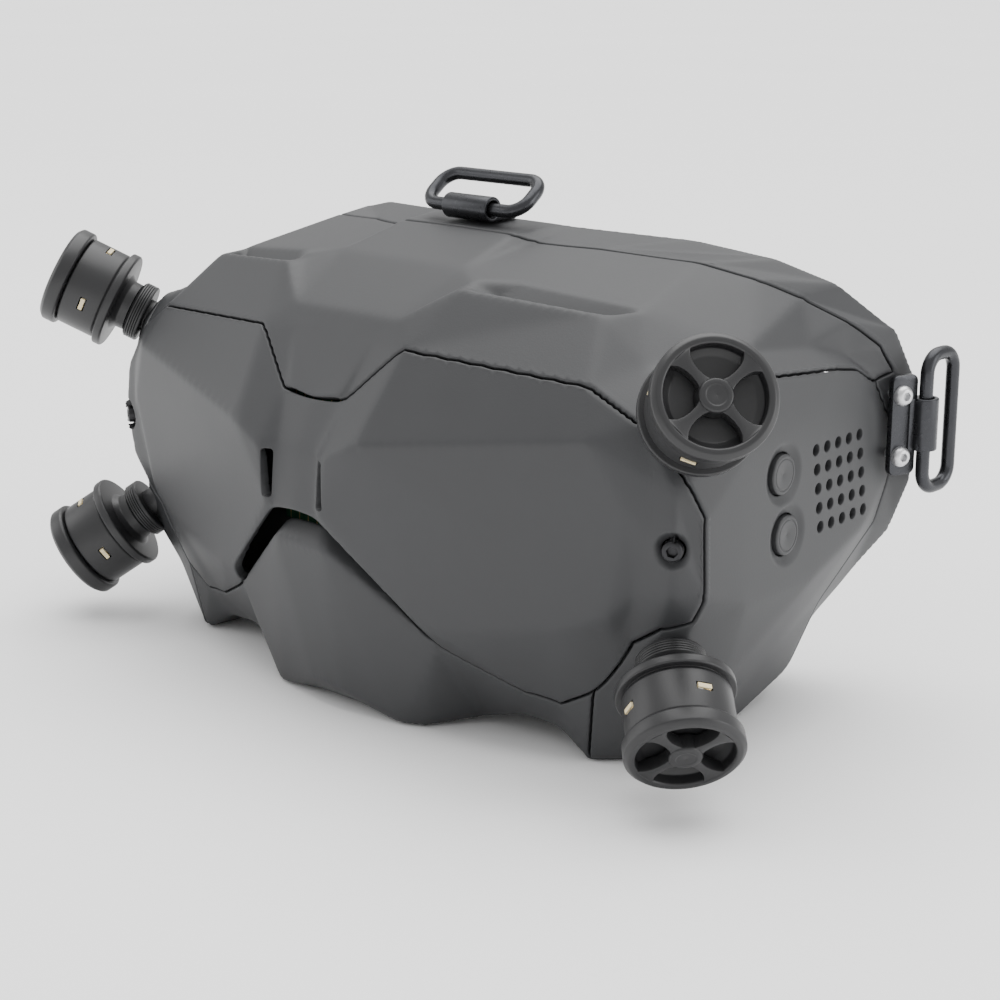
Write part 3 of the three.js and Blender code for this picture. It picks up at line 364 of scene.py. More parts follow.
def rounded_rect(width: float, height: float, radius: float, steps: int = 5) -> Profile:
    """A rounded rectangle, centred, with corners of a true radius.

    Args:
        width: Its size along X.
        height: Its size along Y.
        radius: The corners' radius.
        steps: Points on each corner, less one.

    Returns:
        The outline.
    """
    out = []
    for sx, sy, start in ((1, -1, -90), (1, 1, 0), (-1, 1, 90), (-1, -1, 180)):
        for k in range(steps + 1):
            a = math.radians(start + 90 * k / steps)
            out.append((sx * (width / 2 - radius) + radius * math.cos(a),
                        sy * (height / 2 - radius) + radius * math.sin(a)))
    return out


def inset(outline: Profile, by: float) -> Profile:
    """Moves an outline that runs anticlockwise inwards.

    Args:
        outline: The outline.
        by: How far it moves.

    Returns:
        The smaller outline.
    """
    out = []
    n = len(outline)
    for i, p in enumerate(outline):
        a = (Vector(p) - Vector(outline[i - 1])).normalized()
        b = (Vector(outline[(i + 1) % n]) - Vector(p)).normalized()
        m = a + b
        m = Vector((-m.y, m.x)).normalized()
        out.append((p[0] + m.x * by, p[1] + m.y * by))
    return out


def stand(point: Vector, axis: Vector, roll: float = 0.0) -> Matrix:
    """The placing that stands a form built along +Z on a point, along an axis."""
    turn = Vector((0, 0, 1)).rotation_difference(axis.normalized()).to_matrix().to_4x4()
    return Matrix.Translation(point) @ turn @ Matrix.Rotation(roll, 4, "Z")


class Draft:
    """Points and faces of one piece, in millimetres, put together from closed forms."""

    def __init__(self) -> None:
        """Starts an empty draft."""
        self.points: list[Vector] = []
        self.faces: list[tuple[int, ...]] = []
        self.slots: list[int] = []

    def add(self, points: Sequence[Vector], faces: Sequence[tuple[int, ...]],
            place: Matrix | None = None, slot: int = 0) -> None:
        """Adds a form.

        Args:
            points: The form's points.
            faces: Its faces, as indices of those points.
            place: Where it stands.
            slot: Which of the piece's finishes it has.
        """
        base = len(self.points)
        self.points += [place @ Vector(p) if place else Vector(p) for p in points]
        self.faces += [tuple(i + base for i in f) for f in faces]
        self.slots += [slot] * len(faces)

    def lathe(self, profile: Profile, place: Matrix | None = None, segments: int = 48,
              slot: int = 0) -> None:
        """Adds a body turned round Z.

        Args:
            profile: (radius, height) pairs.
            place: Where the body stands.
            segments: Points round it.
            slot: Which of the piece's finishes it has.
        """
        points: list[Vector] = []
        rings: list[list[int]] = []
        for r, z in profile:
            if r < 1e-6:
                rings.append([len(points)] * segments)
                points.append(Vector((0, 0, z)))
                continue
            rings.append(list(range(len(points), len(points) + segments)))
            points += [Vector((x, y, z)) for x, y in circle(r, segments)]
        joins = list(zip(rings, rings[1:]))
        if profile[0][0] > 1e-6:
            joins.append((rings[-1], rings[0]))
        faces = []
        for low, high in joins:
            for k in range(segments):
                n = (k + 1) % segments
                face = list(dict.fromkeys((low[k], low[n], high[n], high[k])))
                if len(face) > 2:
                    faces.append(tuple(face))
        self.add(points, faces, place, slot)

    def loft(self, rings: Sequence[Sequence[Vector]], place: Matrix | None = None,
             slot: int = 0, loop: bool = False) -> None:
        """Adds a skin through rings of points.

        Args:
            rings: The rings, each with the same number of points.
            place: Where the skin stands.
            slot: Which of the piece's finishes it has.
            loop: Whether the last ring joins the first; if not, the ends are flat.
        """
        n = len(rings[0])
        points = [p for ring in rings for p in ring]
        faces = []
        for i in range(len(rings) if loop else len(rings) - 1):
            a, b = i * n, ((i + 1) % len(rings)) * n
            faces += [(a + k, a + (k + 1) % n, b + (k + 1) % n, b + k) for k in range(n)]
        if not loop:
            faces += [tuple(reversed(range(n))), tuple(range(len(points) - n, len(points)))]
        self.add(points, faces, place, slot)

    def prism(self, outline: Profile, low: float, high: float, place: Matrix | None = None,
              edge: float = 0.3, slot: int = 0) -> None:
        """Adds a straight body over an outline, with softened edges at both ends.

        Args:
            outline: The outline, anticlockwise.
            low: The body's lower end.
            high: Its upper end.
            place: Where it stands.
            edge: The size of its softened edges.
            slot: Which of the piece's finishes it has.
        """
        levels = [(low, edge), (low + edge * 0.3, edge * 0.3), (low + edge, 0.0),
                  (high - edge, 0.0), (high - edge * 0.3, edge * 0.3), (high, edge)]
        self.loft([[Vector((x, y, z)) for x, y in inset(outline, by)] for z, by in levels],
                  place, slot)

    def make(self, name: str, looks: Sequence[Look], body: str, nodes: Sequence[str] = (),
             sharp: float = 38.0) -> bpy.types.Object:
        """Turns the draft into a piece that rides on a body.

        Args:
            name: The piece's name.
            looks: Its finishes, in the order of the draft's slots.
            body: The body that it rides on.
            nodes: The frame's nodes that it stands for.
            sharp: Edges over this many degrees stay sharp.

        Returns:
            The piece.
        """
        mesh = bpy.data.meshes.new(name)
        mesh.from_pydata([p * MM for p in self.points], [], self.faces)
        mesh.polygons.foreach_set("material_index", self.slots)
        return finish_piece(name, mesh, looks, body, nodes, sharp)


def finish_piece(name: str, mesh: bpy.types.Mesh, looks: Sequence[Look], body: str,
                 nodes: Sequence[str] = (), sharp: float = 38.0) -> bpy.types.Object:
    """Makes a mesh into a piece: consistent normals, shading, finishes, body and nodes.

    Args:
        name: The piece's name.
        mesh: Its mesh, in metres.
        looks: Its finishes.
        body: The body that it rides on.
        nodes: The frame's nodes that it stands for.
        sharp: Edges over this many degrees stay sharp.

    Returns:
        The piece.
    """
    work = bmesh.new()
    work.from_mesh(mesh)
    bmesh.ops.remove_doubles(work, verts=work.verts, dist=1e-7)
    bmesh.ops.recalc_face_normals(work, faces=work.faces)
    work.to_mesh(mesh)
    work.free()
    mesh.shade_smooth()
    mesh.set_sharp_from_angle(angle=math.radians(sharp))
    for look in looks:
        mesh.materials.append(look.material())
    piece = bpy.data.objects.new(name, mesh)
    bpy.context.scene.collection.objects.link(piece)
    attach(piece, body)
    if nodes:
        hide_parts(*nodes)
    log.info("%s: %d faces on %s", name, len(mesh.polygons), body)
    return piece


def cut(mesh: bpy.types.Mesh, cutter: Draft) -> bpy.types.Mesh:
    """Cuts a draft's forms out of a mesh in metres.

    Args:
        mesh: The closed mesh to cut.
        cutter: Closed forms, in millimetres.

    Returns:
        The cut mesh.
    """
    tool_mesh = bpy.data.meshes.new("tool")
    tool_mesh.from_pydata([p * MM for p in cutter.points], [], cutter.faces)
    work = bmesh.new()
    work.from_mesh(tool_mesh)
    bmesh.ops.recalc_face_normals(work, faces=work.faces)
    work.to_mesh(tool_mesh)
    work.free()
    tool = bpy.data.objects.new("tool", tool_mesh)
    body = bpy.data.objects.new("cut_body", mesh)
    for o in (tool, body):
        bpy.context.scene.collection.objects.link(o)
    modifier = body.modifiers.new("cut", "BOOLEAN")
    modifier.operation = "DIFFERENCE"
    modifier.solver = "EXACT"
    modifier.object = tool
    shown = body.evaluated_get(bpy.context.evaluated_depsgraph_get())
    made = bpy.data.meshes.new_from_object(shown)
    for o in (tool, body):
        bpy.data.objects.remove(o)
    return made


# ---------------------------------------------------------------- the faceted skin
# Corners of the right half, in millimetres. A name ending in 0 lies on the middle plane.
CORNERS: dict[str, Point] = {
    # cover: bridge and notch
    "n0": (0, -0.8, 73.8), "a": (9.8, -0.2, 74.4), "k0": (0, -5.6, 63.4), "kc": (6.6, -5.4, 63.2),
    "f0": (0, -7.3, 49.2), "f": (7, -7, 48.6),
    # cover: eye bulge
    "b": (22.8, 5.2, 87), "b2": (69, 13.4, 84.4), "b3": (80.6, 15.6, 78), "b4": (90.8, 18.6, 66.4),
    "iu": (10.6, -7.9, 62.8), "il": (8.6, -7.9, 50), "j": (19.6, -7, 67.4), "k": (73.3, 8.4, 74.6),
    "kr": (80.6, 11.4, 60.5), "rb": (74.6, 11.4, 36.6), "rb2": (64.8, 9.2, 32),
    "lb2": (36.7, 1.9, 26.6), "lb": (30.6, 0.2, 27.8),
    # cover: outer flange
    "v1": (84.3, 14.4, 67.5), "v2": (84.4, 13.8, 56), "v3": (80.5, 14.6, 42), "v4": (75.5, 15, 31),
    "o1": (89.3, 15.9, 65.8), "o2": (89.8, 15.2, 55), "o3": (88.6, 16, 42.5),
    "r1": (93.2, 21, 59.5), "r2": (93, 22, 42.4), "r3": (90.4, 21.4, 37), "s1": (85, 17.6, 35),
    "s2": (78.2, 16.6, 30.6), "s3": (74.6, 16.6, 25.2), "s4": (68, 16.4, 17.2),
    "s5": (59.4, 15.6, 12.6), "s6": (52, 14, 13.3), "s7": (33, 4.6, 22.6),
    # brow
    "c10": (0, 6.4, 87.4), "c1": (13, 6.4, 87.6), "a1": (8, -0.4, 75), "c0": (0, 9.8, 91.8),
    "c": (16.2, 9.6, 91.8), "d": (28.4, 17.8, 99.4), "e": (61.8, 25.6, 96.8),
    "e2": (72.8, 26.4, 87.4), "h": (79, 24, 85.2),
    # groove behind the brow and the raised crown
    "g1": (32, 23.6, 96.6), "g2": (61.5, 31.5, 93.6), "w1": (35, 28.6, 99.9), "w2": (64, 36, 96.8),
    "p0": (0, 27.6, 101.6), "p": (20, 27.4, 101.6), "pv": (27.6, 22.6, 100.2),
    "t0": (0, 46, 107.2), "t": (18, 45.6, 107), "t2": (21.2, 48.4, 105.2), "t3": (36, 54, 104.6),
    "t4": (58, 62, 103.0), "t5": (68.4, 70, 99.4), "t6": (75.4, 77, 95.2), "t7": (83, 85, 89.6),
    "t8": (87.8, 90.4, 84.2), "t9": (89, 94.6, 78),
    "y1": (83, 47, 88.6), "y2": (82.4, 70, 86), "y3": (84, 80.6, 83.2),
    # side cover
    "x1": (85.6, 25, 83.4), "x2": (89.2, 45, 84.4), "x3": (88.4, 73.5, 81.8), "x4": (87.6, 83, 80.2),
    "x5": (87.4, 89.2, 76.4), "z1": (88, 95.6, 66), "z2": (87.6, 96.6, 54), "z3": (85.8, 93.4, 42),
    "z4": (79.8, 82.4, 25), "bu": (89.6, 21.6, 79), "m1": (92.6, 34, 70), "m2": (92.6, 36, 38),
    "m3": (90.7, 62, 72), "m4": (90.6, 64, 37), "m5": (89.2, 84, 70), "m6": (89.2, 85, 44),
    "bl": (87.2, 18.8, 27.6), "m7": (86.4, 36, 18), "m8": (82.4, 62, 19), "l1": (65, 18.6, 0),
    "l2": (76, 30, 0), "l3": (74.4, 46, 0), "l4": (72.6, 62, 0), "l5": (73.4, 79, 6.4),
    "bs": (78.6, 22, 13.4),
    # chin and floor
    "ct0": (0, -6.2, 42), "ct": (7.9, -6.2, 41.8), "cg0": (0, -2.4, 46.2), "cg": (6.2, -2.4, 46),
    "ch0": (0, 1.6, 5.4), "ch": (4.8, 1.8, 5.4), "cb0": (0, 7, 1), "cb": (8, 7.4, 0.8),
    "ck": (20.6, 5.6, 0.4), "cl": (25, 8.6, 0), "cm": (34, 19, 1.8), "cn": (45, 18.6, 5.4),
    "co": (56, 19, 5.2), "fl0": (0, 30, 2), "fa": (30, 36, 5), "fc": (62, 46, 0), "fb": (45, 42, 7.4),
    "fg": (28, 62, 8), "fe": (62, 66, 0), "fn0": (0, 46, 14), "fn": (12, 52, 12),
    # face frame: band and rim
    "bn0": (0, 52, 30), "bn": (13, 56, 24), "bo": (24, 70, 8), "bp": (44, 76, 3.4), "bq": (62, 80, 3.2),
    "q0": (0, 60, 108.2), "q1": (20, 61, 107.9), "q2": (50, 72, 106.2), "q3": (66.6, 80, 102.8),
    "q4": (78, 88.4, 97.2), "q5": (87, 98.8, 86.4), "q6": (89.8, 103.2, 74.8), "q7": (90.6, 104, 62),
    "q8": (89, 104, 50), "q9": (85.4, 102.6, 39), "qa": (76.8, 98.4, 26.4), "qb": (70, 93, 15),
    "qc": (60, 90, 8.4), "qd": (45, 85, 5.4), "qe": (28, 79, 9.6), "qf": (14.6, 66, 26),
    "qg0": (0, 62, 33.4),
    # lip round the face opening
    "i0": (0, 56, 99), "i1": (19, 58, 98.6), "i2": (45, 69, 96.4), "i3": (58, 76, 92.6),
    "i4": (67, 83, 87), "i5": (74, 91, 79), "i6": (77.4, 95, 70.6), "i7": (78.4, 96.4, 61),
    "i8": (77, 95.4, 51), "i9": (73.4, 93.4, 41.6), "ia": (66.6, 90.4, 32), "ib": (60.4, 87, 24.4),
    "ic": (52.6, 84, 19.6), "id": (42, 79.6, 17.4), "ie": (31.4, 74, 21.6), "if": (22, 63.6, 36.4),
    "ig0": (0, 59, 44.4),
}

# Facets of each shell, by corner name, right half; every facet is mirrored to the left.
FACETS: dict[str, str] = {
    "front_cover": "n0 a kc k0, k0 kc f f0, a b j, a j iu, a iu kc, kc iu il f, b b2 k j, b2 b3 k,"
    " b3 v1 k, k v1 kr, v1 v2 kr, kr v2 v3, kr v3 rb, rb v3 v4, rb v4 rb2, j k kr rb, j rb rb2,"
    " j rb2 lb2, j lb2 lb, j lb il, j il iu, b3 b4 o1, b3 o1 v1, v1 o1 o2 v2, v2 o2 o3 v3, b4 r1 o1,"
    " o1 r1 r2, o1 r2 o2, o2 r2 o3, o3 r2 r3, o3 r3 s1, v3 o3 s1, v3 s1 s2, v3 s2 v4, v4 s2 s3,"
    " v4 s3 s4, rb2 v4 s4, rb2 s4 s5, rb2 s5 s6, lb2 rb2 s6, lb2 s6 s7, lb2 s7 lb, il lb f",
    "top_shell": "n0 a1 c1 c10, c10 c1 c c0, a1 a c1, a b c1, b c c1, b d c, b b2 e d, b2 b3 e2,"
    " b2 e2 e, b3 h e2, c0 c p p0, c d pv, c pv p, d g1 pv, d e g2 g1, g1 w1 pv, g1 g2 w2 w1, pv w1 p,"
    " e e2 w2 g2, p0 p t t0, p t2 t, p w1 t3, p t3 t2, w1 w2 t4 t3, e2 h y1, e2 y1 w2, w2 y1 t5,"
    " w2 t5 t4, y1 y2 t6, y1 t6 t5, y2 y3 t7, y2 t7 t6, y3 t8 t7, b3 x1 h, h x1 x2, h x2 y1,"
    " y1 x2 x3, y1 x3 y2, y2 x3 x4, y2 x4 y3, y3 x4 x5, y3 x5 t9, y3 t9 t8",
    "side_cover": "b3 b4 bu, b3 bu x1, x1 bu m1, b4 m1 bu, x1 m1 x2, b4 r1 m1, r1 m2 m1, r1 r2 m2,"
    " x2 m1 m3, x2 m3 x3, x3 m3 x4, x4 m3 m5, x4 m5 x5, x5 m5 z1, m5 m6 z2, m5 z2 z1, m6 z3 z2,"
    " m1 m2 m4 m3, m3 m4 m6 m5, m6 m8 z3, z3 m8 z4, m4 m8 m6, m4 m7 m8, m2 m7 m4, r2 r3 m2, r3 bl m2,"
    " r3 s1 bl, s1 s2 bl, s2 s3 bl, bl m7 m2, s3 bs bl, s3 s4 bs, bl bs m7, s4 l1 bs, bs l1 l2,"
    " bs l2 m7, m7 l2 l3, m7 l3 m8, m8 l3 l4, m8 l4 l5, m8 l5 z4",
    "lower_shell": "cg0 cg ct ct0, ct0 ct ch ch0, ch0 ch cb cb0, cg s7 ct, ct s7 ck, ct ck ch,"
    " ch ck cb, s7 cl ck, s7 s6 cm, s7 cm cl, s6 cn cm, s6 s5 cn, s5 co cn, s5 s4 l1, s5 l1 co,"
    " cb0 cb fl0, cb fa fl0, cb ck cl, cb cl fa, cl cm fa, cm cn fb, cm fb fa, cn co fb, co l1 fc,"
    " co fc fb, l1 l2 fc, l2 l3 fc, l3 l4 fe, l3 fe fc, fb fc fe, fa fb fg, fb fe fg, fl0 fa fn0,"
    " fa fn fn0, fa fg fn, fn0 fn bn bn0, fn fg bo bn, fg fe bp bo, fe bq bp, fe l4 bq, l4 l5 bq",
    "face_frame": "t0 t q1 q0, t t2 q1, t2 t3 q2 q1, t3 t4 q3 q2, t4 t5 q4 q3, t5 t6 q4, t6 t7 q5 q4,"
    " t7 t8 q5, t8 t9 q6 q5, t9 x5 z1 q7, t9 q7 q6, z1 z2 q8 q7, z2 z3 q9 q8, z3 z4 qa q9, z4 l5 qb qa,"
    " l5 bq qc qb, bq bp qd qc, bp bo qe qd, bo bn qf qe, bn bn0 qg0 qf, q0 q1 i1 i0, q1 q2 i2 i1,"
    " q2 q3 i3 i2, q3 q4 i4 i3, q4 q5 i5 i4, q5 q6 i6 i5, q6 q7 i7 i6, q7 q8 i8 i7, q8 q9 i9 i8,"
    " q9 qa ia i9, qa qb ib ia, qb qc ic ib, qc qd id ic, qd qe ie id, qe qf if ie, qf qg0 ig0 if",
}
SHELLS = ("front_cover", "top_shell", "side_cover_right", "side_cover_left", "lower_shell", "face_frame")


def twin(name: str) -> str:
    """The corner's name on the other side."""
    return name if name.endswith("0") else name + "~"


@dataclass
class Dish:
    """A soft-lipped round hollow in the skin."""

    at: Vector
    radius: float
    depth: float
    lip: float = 1.6
    mesh: float = 0.6  # longest edge of the skin here


@dataclass
class Hole:
    """A hole with a rounded outline that is punched straight through the skin."""

    at: Vector
    axis: Vector
    width: float
    height: float
    corner: float
    mesh: float = 0.6  # longest edge of the skin here
    reach: float = 9.0  # how far from the middle, along the axis, the skin is punched

    def distance(self, points: np.ndarray) -> np.ndarray:
        """How far points lie outside the outline, looking along the axis.

        Args:
            points: Points, one a row.

        Returns:
            The distances; negative inside the outline.
        """
        flat = self._flat(points)
        over = np.abs(flat) - np.array((self.width / 2, self.height / 2)) + self.corner
        return (np.linalg.norm(np.maximum(over, 0), axis=1)
                + np.minimum(over.max(axis=1), 0) - self.corner)

    def snap(self, points: np.ndarray) -> np.ndarray:
        """Moves points sideways onto the outline.

        Args:
            points: Points, one a row.

        Returns:
            The moved points.
        """
        flat = self._flat(points)
        core = np.array((self.width / 2, self.height / 2)) - self.corner
        near = np.clip(flat, -core, core)
        away = flat - near
        away /= np.maximum(np.linalg.norm(away, axis=1), 1e-9)[:, None]
        moved = near + away * self.corner - flat
        u, v = self._directions()
        return points + moved[:, :1] * u + moved[:, 1:] * v

    def near(self, points: np.ndarray, margin: float) -> np.ndarray:
        """Which points the hole could touch.

        Args:
            points: Points, one a row.
            margin: How far outside the outline still counts.

        Returns:
            True for each point that is near.
        """
        off = points - np.array(self.at)
        deep = np.abs(off @ np.array(self.axis.normalized()))
        wide = max(self.width, self.height) / 2 + margin
        return (deep < self.reach) & (np.linalg.norm(off, axis=1) < wide + self.reach * 0.5)

    def _directions(self) -> tuple[np.ndarray, np.ndarray]:
        """The outline's level direction and its upward one."""
        u = Vector((0, 0, 1)).cross(self.axis).normalized()
        return np.array(u), np.array(self.axis.cross(u).normalized())

    def _flat(self, points: np.ndarray) -> np.ndarray:
        """Points as seen along the axis."""
        u, v = self._directions()
        off = points - np.array(self.at)
        return np.stack([off @ u, off @ v], axis=1)


@dataclass
class Skin:
    """The whole faceted skin, refined and softened, ready to be parted into shells."""

    step: float = 1.5  # longest edge of the refined skin
    coarse_passes: int = 8
    fine_passes: int = 5
    crisp_turns: int = 4  # smoothing passes over every edge
    soft_turns: int = 30  # more passes where no sharp edge is near
    sharp_angle: float = 12.0  # an edge that turns more than this is sharp
    reach: float = 9.0  # full softening starts this far from a sharp edge
    gap: float = 0.5  # width of the seam between two shells
    edge: float = 0.4  # radius of the edge along a seam
    wall: float = 2.2  # how deep the shells' edges show
    dishes: list[Dish] = field(default_factory=list)
    holes: list[Hole] = field(default_factory=list)
    points: np.ndarray = field(init=False)
    faces: np.ndarray = field(init=False)
    labels: np.ndarray = field(init=False)
    hole_rim: np.ndarray = field(init=False)
    links: np.ndarray = field(init=False)  # every point beside each of its neighbours
    linked_faces: int = field(init=False, default=0)  # how many facets the links were made from

    def build(self) -> None:
        """Makes the refined, softened skin, with its dishes and holes."""
        self._net()
        sharp = self._sharp_points()
        self._refine(lambda middles: np.full(len(middles), self.step), self.coarse_passes)
        self._soften(sharp)
        self._refine(self._limits, self.fine_passes)
        for _ in range(3):
            self._turn(0.4)
        self._press()
        self._punch()
        log.info("skin: %d triangles", len(self.faces))

    def _net(self) -> None:
        """Reads the corners and facets of both halves into arrays, all facing out."""
        index: dict[str, int] = {}
        work = bmesh.new()
        layer = work.faces.layers.int.new("shell")
        verts: list[bmesh.types.BMVert] = []

        def vert(name: str) -> bmesh.types.BMVert:
            """The corner's vertex, made when it is first needed."""
            if name not in index:
                x, y, z = CORNERS[name.rstrip("~")]
                index[name] = len(verts)
                verts.append(work.verts.new((-x if name.endswith("~") else x, y + SHIFT_Y, z)))
            return verts[index[name]]

        for part, text in FACETS.items():
            for facet in text.split(","):
                names = facet.split()
                for side, half in ((Side.RIGHT, names), (Side.LEFT, [twin(n) for n in names])):
                    label = part + "_" + side.word if part == "side_cover" else part
                    for i in range(1, len(half) - 1):
                        corners = [vert(half[0]), vert(half[i]), vert(half[i + 1])]
                        if work.faces.get(corners) is None:
                            work.faces.new(corners)[layer] = SHELLS.index(label)
        bmesh.ops.recalc_face_normals(work, faces=work.faces)
        work.verts.index_update()
        self.points = np.array([v.co for v in work.verts], float)
        self.faces = np.array([[v.index for v in f.verts] for f in work.faces])
        self.labels = np.array([f[layer] for f in work.faces])
        work.free()

    def _sharp_points(self) -> KDTree:
        """Points along every sharp edge of the net."""
        normals = face_normals(self.points, self.faces)
        beside: dict[tuple[int, int], list[int]] = {}
        for i, face in enumerate(self.faces):
            for k in range(3):
                a, b = sorted((int(face[k]), int(face[(k + 1) % 3])))
                beside.setdefault((a, b), []).append(i)
        limit = math.cos(math.radians(self.sharp_angle))
        found = []
        for (a, b), both in beside.items():
            if len(both) == 2 and normals[both[0]] @ normals[both[1]] > limit:
                continue
            count = max(2, int(np.linalg.norm(self.points[a] - self.points[b])))
            found += [self.points[a] + (self.points[b] - self.points[a]) * k / count
                      for k in range(count + 1)]
        tree = KDTree(len(found))
        for i, p in enumerate(found):
            tree.insert(p, i)
        tree.balance()
        return tree

    def _limits(self, middles: np.ndarray) -> np.ndarray:
        """The longest edge allowed at each point.

        Args:
            middles: The middles of the edges, one a row.

        Returns:
            The lengths.
        """
        limit = np.full(len(middles), self.step)
        for dish in self.dishes:
            away = np.linalg.norm(middles - np.array(dish.at), axis=1)
            limit[away < dish.radius + 2.5] = dish.mesh
        for hole in self.holes:
            rows = np.flatnonzero(hole.near(middles, 2.0))
            rows = rows[np.abs(hole.distance(middles[rows])) < 1.6]
            limit[rows] = np.minimum(limit[rows], hole.mesh)
        return limit

    def _refine(self, limits: Callable[[np.ndarray], np.ndarray], passes: int) -> None:
        """Splits every edge that is too long, and the parts that are still too long.

        Args:
            limits: Gives the longest edge allowed at each of the points it is given.
            passes: How often the parts are split again, at most.
        """
        for _ in range(passes):
            ends = np.sort(self.faces[:, [[0, 1], [1, 2], [2, 0]]].reshape(-1, 2), axis=1)
            edges, which = np.unique(ends, axis=0, return_inverse=True)
            a, b = self.points[edges[:, 0]], self.points[edges[:, 1]]
            long = np.linalg.norm(a - b, axis=1) > limits((a + b) / 2)
            if not long.any():
                return
            middle = np.full(len(edges), -1)
            middle[long] = len(self.points) + np.arange(long.sum())
            self.points = np.vstack([self.points, ((a + b) / 2)[long]])
            self._split(middle[which.reshape(-1, 3)])

    def _split(self, middle: np.ndarray) -> None:
        """Replaces each facet by its parts.

        Args:
            middle: For each facet's three edges, the point that splits it, or -1.
        """
        count = (middle >= 0).sum(axis=1)
        faces, labels = [self.faces[count == 0]], [self.labels[count == 0]]

        def keep(rows: np.ndarray, *parts: tuple[np.ndarray, ...]) -> None:
            """Keeps these parts of the facets in rows."""
            for part in parts:
                faces.append(np.stack(part, axis=1))
                labels.append(self.labels[rows])

        rows = np.flatnonzero(count == 3)
        (a, b, c), (m, n, o) = self.faces[rows].T, middle[rows].T
        keep(rows, (a, m, o), (m, b, n), (o, n, c), (m, n, o))
        for k in range(3):
            f, s = np.roll(self.faces, -k, axis=1), np.roll(middle, -k, axis=1)
            rows = np.flatnonzero((count == 1) & (s[:, 0] >= 0))
            (a, b, c), m = f[rows].T, s[rows, 0]
            keep(rows, (a, m, c), (m, b, c))
            rows = np.flatnonzero((count == 2) & (s[:, 2] < 0))
            (a, b, c), m, n = f[rows].T, s[rows, 0], s[rows, 1]
            keep(rows, (m, b, n), (a, m, n), (a, n, c))
        self.faces, self.labels = np.vstack(faces), np.concatenate(labels)

    def _turn(self, amount: float | np.ndarray) -> None:
        """Moves every point towards the middle of its neighbours, and keeps borders on their line.

        Args:
            amount: The share of the way that points move, for all of them or for each.
        """
        if self.linked_faces != len(self.faces):
            ends = np.sort(self.faces[:, [[0, 1], [1, 2], [2, 0]]].reshape(-1, 2), axis=1)
            edges, uses = np.unique(ends, axis=0, return_counts=True)
            border = np.zeros(len(self.points), bool)
            border[edges[uses == 1].ravel()] = True
            both = np.vstack([edges, edges[:, ::-1]])
            self.links = both[np.tile(uses == 1, 2) | ~border[both[:, 0]]]
            self.linked_faces = len(self.faces)
        at, to = self.links.T
        count = np.bincount(at, minlength=len(self.points))[:, None]
        sums = np.stack([np.bincount(at, self.points[to, k], len(self.points)) for k in range(3)],
                        axis=1)
        self.points = self.points + amount * (sums / count - self.points)

    def _soften(self, sharp: KDTree) -> None:
        """Rounds the edges a little everywhere, and much more away from the sharp ones.

        Args:
            sharp: Points along the sharp edges.
        """
        away = np.array([sharp.find(p)[2] for p in self.points])
        share = np.clip(away / self.reach, 0, 1)[:, None] ** 1.5
        for _ in range(self.crisp_turns):
            self._turn(0.5)
        for _ in range(self.soft_turns):
            self._turn(0.5 * share)

    def _press(self) -> None:
        """Presses the dishes into the softened skin."""
        normals = vertex_normals(self.points, self.faces)
        for dish in self.dishes:
            away = np.linalg.norm(self.points - np.array(dish.at), axis=1)
            t = np.clip((dish.radius - away) / dish.lip, 0, 1)
            sunk = t * t * (3 - 2 * t) * dish.depth
            self.points = self.points - normals * sunk[:, None]

    def _punch(self) -> None:
        """Punches the holes: drops the facets inside each outline and trims its border true."""
        self.hole_rim = np.zeros(len(self.points), bool)
        normals = face_normals(self.points, self.faces)
        keep = np.ones(len(self.faces), bool)
        middles = self.points[self.faces].mean(axis=1)
        inside = []
        for hole in self.holes:
            facing = normals @ np.array(hole.axis.normalized()) > 0.2
            gone = hole.near(middles, 0.5) & facing & (hole.distance(middles) < 0)
            inside.append(np.unique(self.faces[gone]))
            keep &= ~gone
        touched = np.zeros(len(self.points), bool)
        touched[np.concatenate(inside).astype(int)] = True
        keep &= ~touched[self.faces].all(axis=1)
        self.faces, self.labels = self.faces[keep], self.labels[keep]
        left = np.unique(self.faces)
        rims = [np.intersect1d(rows, left).astype(int) for rows in inside]
        close = np.zeros((len(self.points), 1))
        for hole in self.holes:
            rows = np.flatnonzero(hole.near(self.points, 2.0))
            close[rows[np.abs(hole.distance(self.points[rows])) < 1.6]] = 0.5
        for _ in range(6):
            for hole, rim in zip(self.holes, rims):
                self.points[rim] = hole.snap(self.points[rim])
                self.hole_rim[rim] = True
            self._turn(close)
        for hole, rim in zip(self.holes, rims):
            self.points[rim] = hole.snap(self.points[rim])

